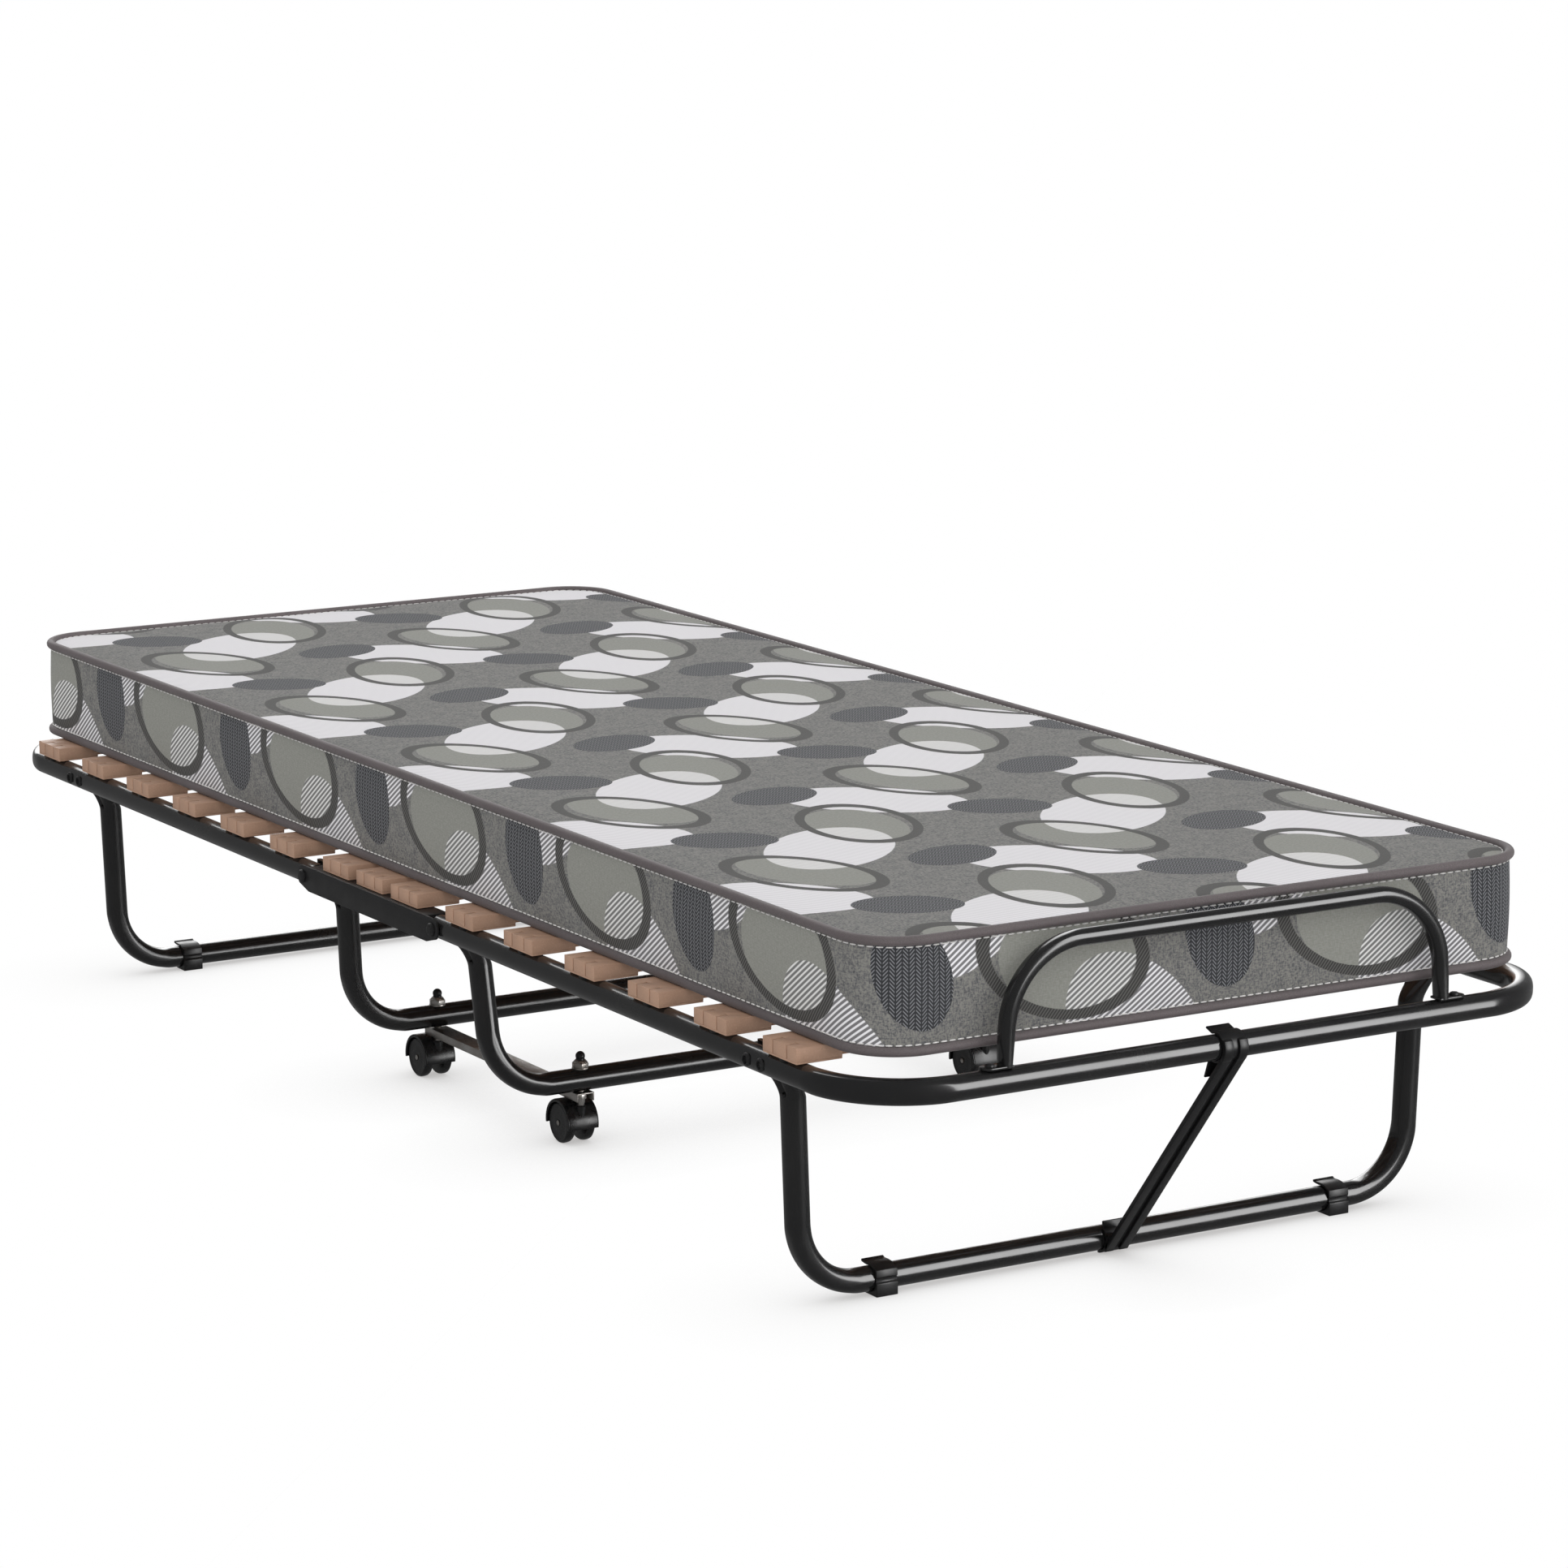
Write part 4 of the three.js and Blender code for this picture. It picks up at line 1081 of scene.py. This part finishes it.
def mattress_mesh():
    """The whole cushion as one closed grid: two panels with seams at their edges, and the side strip.
    Its four parts, and the panels and strip of each, are told apart by their material slots until it is
    cut. The print's place is its UV map."""
    edge_x = HALF_W - CORNER
    xs = spaced(-HALF_W, -edge_x, PITCH) + spaced(-edge_x, edge_x, PITCH)
    xs += spaced(edge_x, HALF_W, PITCH) + [HALF_W]
    ys = spaced(PART_ENDS[0], PART_ENDS[0] + CORNER, PITCH)
    ys += spaced(PART_ENDS[0] + CORNER, PART_ENDS[1], PITCH)
    ys += spaced(PART_ENDS[1], PART_ENDS[2], PITCH) + spaced(PART_ENDS[2], PART_ENDS[3], PITCH)
    ys += spaced(PART_ENDS[3], PART_ENDS[4] - CORNER, PITCH)
    ys += spaced(PART_ENDS[4] - CORNER, PART_ENDS[4], PITCH) + [PART_ENDS[4]]
    wide, long = len(xs), len(ys)
    vertices, faces, slots, uvs = [], [], [], []
    held = []

    def part_at(y):
        return sum(y > end for end in PART_ENDS[1:4])

    for z_edge, z_panel in ((SEAM_TOP, SEAM_TOP), (SEAM_BOTTOM, PANEL_BOTTOM)):
        for y in ys:
            for x in xs:
                px, py = rounded(x, y)
                edge = x in (xs[0], xs[-1]) or y in (ys[0], ys[-1])
                if edge or z_edge == SEAM_BOTTOM:
                    held.append(len(vertices))
                vertices.append((px, py, z_edge if edge else z_panel))
    base = wide * long
    for j in range(long - 1):
        for i in range(wide - 1):
            top = (j * wide + i, j * wide + i + 1, (j + 1) * wide + i + 1, (j + 1) * wide + i)
            under = tuple(base + k for k in top[::-1])
            for face in (top, under):
                faces.append(face)
                slots.append(2 * part_at((ys[j] + ys[j + 1]) / 2))
                uvs += [print_place(*vertices[k][:2]) for k in face]
    border = [(0, j) for j in range(long - 1, 0, -1)] + [(i, 0) for i in range(wide)]
    border += [(wide - 1, j) for j in range(1, long)] + [(i, long - 1) for i in range(wide - 2, 0, -1)]
    gone, walked = [], 0.0
    count = len(border)
    flat = [Vector(vertices[j * wide + i][:2]) for i, j in border]
    for k in range(count + 1):
        gone.append(walked)
        walked += (flat[(k + 1) % count] - flat[k % count]).length
    side = next(k for k in range(count) if abs(flat[k].y) < PITCH)
    zero = gone[side] + flat[side].y
    rings = [[j * wide + i for i, j in border]]
    for row in range(1, SIDE_ROWS):
        t = row / SIDE_ROWS
        ids = []
        for k in range(count):
            out = (flat[(k + 1) % count] - flat[k - 1]).normalized()
            bulge = 1.5 * MM * math.sin(math.pi * t)
            ids.append(len(vertices))
            place = flat[k] + Vector((out.y, -out.x)) * bulge
            vertices.append((place.x, place.y, mix(SEAM_TOP, SEAM_BOTTOM, t)))
        rings.append(ids)
    rings.append([base + k for k in rings[0]])
    for row in range(SIDE_ROWS):
        for k in range(count):
            after = (k + 1) % count
            face = (rings[row][k], rings[row + 1][k], rings[row + 1][after], rings[row][after])
            faces.append(face)
            slots.append(2 * part_at((flat[k].y + flat[after].y) / 2) + 1)
            for index, step in zip(face, (k, k, k + 1, k + 1)):
                uvs.append(strip_place(gone[step] - zero, vertices[index][2]))
    mesh = bpy.data.meshes.new("mattress")
    mesh.from_pydata(vertices, [], faces)
    mesh.polygons.foreach_set("use_smooth", [True] * len(faces))
    layer = mesh.uv_layers.new(name="Cloth")
    layer.uv.foreach_set("vector", [c for uv in uvs for c in uv])
    for number in range(2 * len(PARTS)):
        mesh.materials.append(bpy.data.materials.new(f"part_{number}"))
    mesh.polygons.foreach_set("material_index", slots)
    whole = bpy.data.objects.new("mattress", mesh)
    bpy.context.scene.collection.objects.link(whole)
    return whole, held


def blown(whole, held, cap):
    """Fills the cushion with a cloth simulation and lets no point go further than the cap."""
    group = whole.vertex_groups.new(name="held")
    group.add(held, 1.0, "REPLACE")
    cloth = whole.modifiers.new("Cloth", "CLOTH")
    cloth.settings.quality = 5
    cloth.settings.use_pressure = True
    cloth.settings.uniform_pressure_force = 4
    cloth.settings.effector_weights.gravity = 0
    cloth.settings.vertex_group_mass = group.name
    cloth.point_cache.frame_start = 1
    cloth.point_cache.frame_end = 20
    scene = bpy.context.scene
    for number in range(1, 21):
        scene.frame_set(number)
    result = whole.evaluated_get(bpy.context.evaluated_depsgraph_get()).data
    places = [v.co.copy() for v in result.vertices]
    whole.modifiers.remove(cloth)
    scene.frame_set(1)
    for vertex, place in zip(whole.data.vertices, places):
        shift = place - vertex.co
        if shift.length > 1e-9:
            vertex.co += shift.normalized() * cap * math.tanh(shift.length / cap)


def finer(whole):
    smoother = whole.modifiers.new("Subdivision", "SUBSURF")
    smoother.levels = 1
    smoother.render_levels = 1
    evaluated = whole.evaluated_get(bpy.context.evaluated_depsgraph_get())
    mesh = bpy.data.meshes.new_from_object(evaluated)
    whole.modifiers.remove(smoother)
    whole.data = mesh


def mattress_part(whole, index, name, stands_for):
    """Cuts one part out of the whole cushion and closes its cut ends."""
    mesh = bmesh.new()
    mesh.from_mesh(whole.data)
    others = [f for f in mesh.faces if f.material_index // 2 != index]
    bmesh.ops.delete(mesh, geom=others, context="FACES")
    cut = [e for e in mesh.edges if e.is_boundary]
    ends = bmesh.ops.holes_fill(mesh, edges=cut, sides=0)["faces"]
    layer = mesh.loops.layers.uv["Cloth"]
    for edge in cut:
        edge.smooth = False
    for face in ends:
        for loop in face.loops:
            loop[layer].uv = (loop.vert.co.z, loop.vert.co.x)
    bmesh.ops.recalc_face_normals(mesh, faces=mesh.faces)
    bmesh.ops.triangulate(mesh, faces=ends)
    for face in mesh.faces:
        face.material_index %= 2
    made = bpy.data.meshes.new(name)
    mesh.to_mesh(made)
    mesh.free()
    made.materials.append(PANEL_TICKING)
    made.materials.append(STRIP_TICKING)
    part = bpy.data.objects.new(name, made)
    bpy.context.scene.collection.objects.link(part)
    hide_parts(*stands_for)
    return part


PIPE_R = 4.6 * MM


def piping(name, low_y, high_y):
    """The bound cord at the top and bottom seams, over one part of the bed's length."""
    places = outline_of(0.0, 6 * MM)
    inside = [low_y - 1e-6 <= p.y <= high_y + 1e-6 for p, _, _ in places]
    strands, strand = [], []
    first = next(k for k in range(len(places)) if inside[k] and not inside[k - 1])
    for step in range(len(places) + 1):
        k = (first + step) % len(places)
        if inside[k] and step < len(places):
            strand.append(places[k])
        elif strand:
            strands.append(strand)
            strand = []
    shapes = []
    for strand in strands:
        ends = []
        for (point, out, _), (inner, _, _) in ((strand[0], strand[1]), (strand[-1], strand[-2])):
            way = (point - inner).normalized()
            ends.append(point)
            if abs(way.y) > 0.999:
                limit = high_y if abs(point.y - high_y) < abs(point.y - low_y) else low_y
                ends[-1] = Vector((point.x, limit, 0))
        middle_points = [p for p, _, _ in strand if all((p - e).length > 1 * MM for e in ends)]
        line = [ends[0], *middle_points, ends[1]]
        pairs = zip([line[0], *line[:-1]], [*line[1:], line[-1]])
        ways = [(after - before).normalized() for before, after in pairs]
        for z in (SEAM_TOP + 0.1 * MM, SEAM_BOTTOM - 0.2 * MM):
            made = [(p + Z * z, w, 0.0) for p, w in zip(line, ways)]
            shapes.append(swept(made, lambda point, turn: (PIPE_R, PIPE_R * 0.98, 2.15, Vector()), Z, 20))
    return piece(name, total(shapes), PIPING, None, smooth_angle=60)


STITCH = 6.6 * MM
STITCH_PITCH = 8.7 * MM


def stitches(whole):
    """Rows of stitches beside the piping, on the strip and on the top panel, as one shape for each part."""
    faces_in = [tuple(p.vertices) for p in whole.data.polygons]
    tree = BVHTree.FromPolygons([v.co for v in whole.data.vertices], faces_in)
    made = {name: [] for name in PARTS}
    sides, half = 6, STITCH / 2
    rows = [(0.0, SEAM_TOP - 5.6 * MM, None), (0.0, SEAM_BOTTOM + 5.4 * MM, None), (6.6 * MM, None, 1)]
    for inset, z, down in rows:
        places = outline_of(inset, STITCH_PITCH)
        for k, (point, out, _) in enumerate(places):
            after = places[(k + 1) % len(places)][0]
            if down:
                hit, normal, _, _ = tree.ray_cast(point + Z * (SEAM_TOP + 0.03), -Z)
            else:
                hit, normal, _, _ = tree.ray_cast(point + Z * z + out * 0.03, -out)
            way = (after - point).normalized()
            part = PARTS[sum(point.y > end for end in PART_ENDS[1:4])]
            side = way.cross(normal).normalized()
            if normal.dot(Z if down else out) < 0:
                normal = -normal
            vertices = [hit - way * half, hit + way * half]
            size = 0.8 * MM if not down else 0.5 * MM
            for step, width in ((-0.86, 0.75), (0.0, 1.0), (0.86, 0.75)):
                centre = hit + way * half * step + normal * 0.15 * MM
                for s in range(sides):
                    angle = 2 * math.pi * s / sides
                    round_it = side * math.cos(angle) + normal * math.sin(angle)
                    vertices.append(centre + round_it * size * width)
            faces = []
            for s in range(sides):
                j = (s + 1) % sides
                faces += [(0, 2 + j, 2 + s), (1, 2 + 2 * sides + s, 2 + 2 * sides + j)]
                for row in (2, 2 + sides):
                    faces.append((row + s, row + j, row + sides + j, row + sides + s))
            made[part].append((vertices, faces))
    return made


def joined_dashes(dashes):
    vertices, faces = [], []
    for points, sides in dashes:
        first = len(vertices)
        vertices += points
        faces += [tuple(first + i for i in face) for face in sides]
    return Shape(vertices, faces)


def fold_with(made, body):
    """A part of the bed's middle rides on the base: it is attached to the base's body and given a mesh of its
    own.
    """
    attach(made, body)
    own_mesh(made)


def mattress():
    whole, held = mattress_mesh()
    blown(whole, held, 3.2 * MM)
    finer(whole)
    dashes = stitches(whole)
    nodes = {"foot": ["cushion_foot"], "middle_foot": ["cushion_middle"],
             "middle_head": ["cushion_middle"], "head": ["cushion_head"]}
    rides = {"foot": ("foot_section", None), "middle_foot": ("rolling_base", "foot_fold"),
             "middle_head": ("rolling_base", "head_fold"), "head": ("head_section", None)}
    for index, name in enumerate(PARTS):
        part = mattress_part(whole, index, f"mattress_{name}", nodes[name])
        cord = piping(f"piping_{name}", PART_ENDS[index], PART_ENDS[index + 1])
        rows = joined_dashes(dashes[name])
        sewn = piece(f"stitches_{name}", rows, THREAD, None, smooth_angle=80)
        body, joint = rides[name]
        for made in (part, cord, sewn):
            if joint:
                fold_with(made, body)
            else:
                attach(made, body)
    bpy.data.objects.remove(whole)


mattress()


# ---- stage ----


def floor():
    """A white floor that lights the bed from below and shows only soft contact shadows."""
    look = Look("floor_paint", 1.0, Specular_IOR_Level=0.0)
    look.colour(linear(235, 235, 235))
    near = look.node("AmbientOcclusion", {"Distance": 0.16}, out=1, samples=8)
    shade = look.node("Emission", {"Color": look.blend(near, linear(176, 174, 173), (1.0, 1.0, 1.0, 1.0))})
    seen = look.node("LightPath")
    both = look.node("MixShader", {0: seen, 1: look.shader.outputs[0], 2: shade})
    look.put(both, look.tree.nodes["Material Output"].inputs["Surface"])
    reach = 60
    corners = [(-reach, -reach, 0), (reach, -reach, 0), (reach, reach, 0), (-reach, reach, 0)]
    mesh = bpy.data.meshes.new("floor")
    mesh.from_pydata(corners, [], [(0, 1, 2, 3)])
    mesh.materials.append(look.material)
    made = bpy.data.objects.new("floor", mesh)
    made.visible_glossy = False
    bpy.context.scene.collection.objects.link(made)


DOME = (0.51, 1.41)          # the dome's strength where it is darkest and where it is brightest
DOME_WAY = Vector((-0.05, -0.89, 0.46)).normalized()


def studio():
    """A white room. Matt surfaces see a soft dome that is brighter over the foot end. Glossy ones see
    a dark room with a tall light box ahead of the foot end, on the right, and a pale wall behind."""
    world = bpy.data.worlds.new("studio")
    bpy.context.scene.world = world
    world.use_nodes = True
    world.cycles.sampling_method = "NONE"
    room = Nodes(world.node_tree)
    way = room.vector("NORMALIZE", room.node("TexCoord", out=0))
    split = room.node("SeparateXYZ", {0: way})
    x, y, z = split, split.node.outputs[1], split.node.outputs[2]
    degrees = 180 / math.pi
    height = room.math("MULTIPLY", room.math("ARCSINE", z), degrees)
    turn = room.math("MULTIPLY", room.math("ARCTAN2", x, room.math("MULTIPLY", y, -1.0)), degrees)

    towards = room.vector("DOT_PRODUCT", way, DOME_WAY, out=1)
    matt = room.ramp(towards, -0.2, 1.0, DOME[0], DOME[1])
    box_light = room.math("MULTIPLY", room.window(turn, 20, 46, 2), room.window(height, -7, 36, 2))
    wall = room.math("MULTIPLY", room.window(turn, 142, 400, 6), room.window(height, 6, 55, 5))
    gloss = room.math("ADD", room.math("MULTIPLY", box_light, 8.0), room.math("MULTIPLY", wall, 4.0))
    gloss = room.math("ADD", gloss, 0.2)

    rays = room.node("LightPath")
    shiny = rays.node.outputs["Is Glossy Ray"]
    level = room.math("ADD", room.math("MULTIPLY", matt, room.math("SUBTRACT", 1.0, shiny)),
                      room.math("MULTIPLY", gloss, shiny))
    level = room.math("MAXIMUM", level, rays)
    back = world.node_tree.nodes["Background"]
    back.inputs["Color"].default_value = (1, 1, 1, 1)
    room.put(level, back.inputs["Strength"])


def camera():
    lens = bpy.data.cameras.new("camera")
    lens.sensor_width = 36
    lens.lens = 119.74
    lens.clip_end = 200
    made = bpy.data.objects.new("camera", lens)
    made.location = (-2.7222, -4.6506, 1.4063)
    made.rotation_euler = (math.radians(90 - 11.398), 0, -math.radians(31.206))
    bpy.context.scene.collection.objects.link(made)
    bpy.context.scene.camera = made


floor()
studio()
camera()
bpy.context.scene.view_settings.view_transform = "Standard"
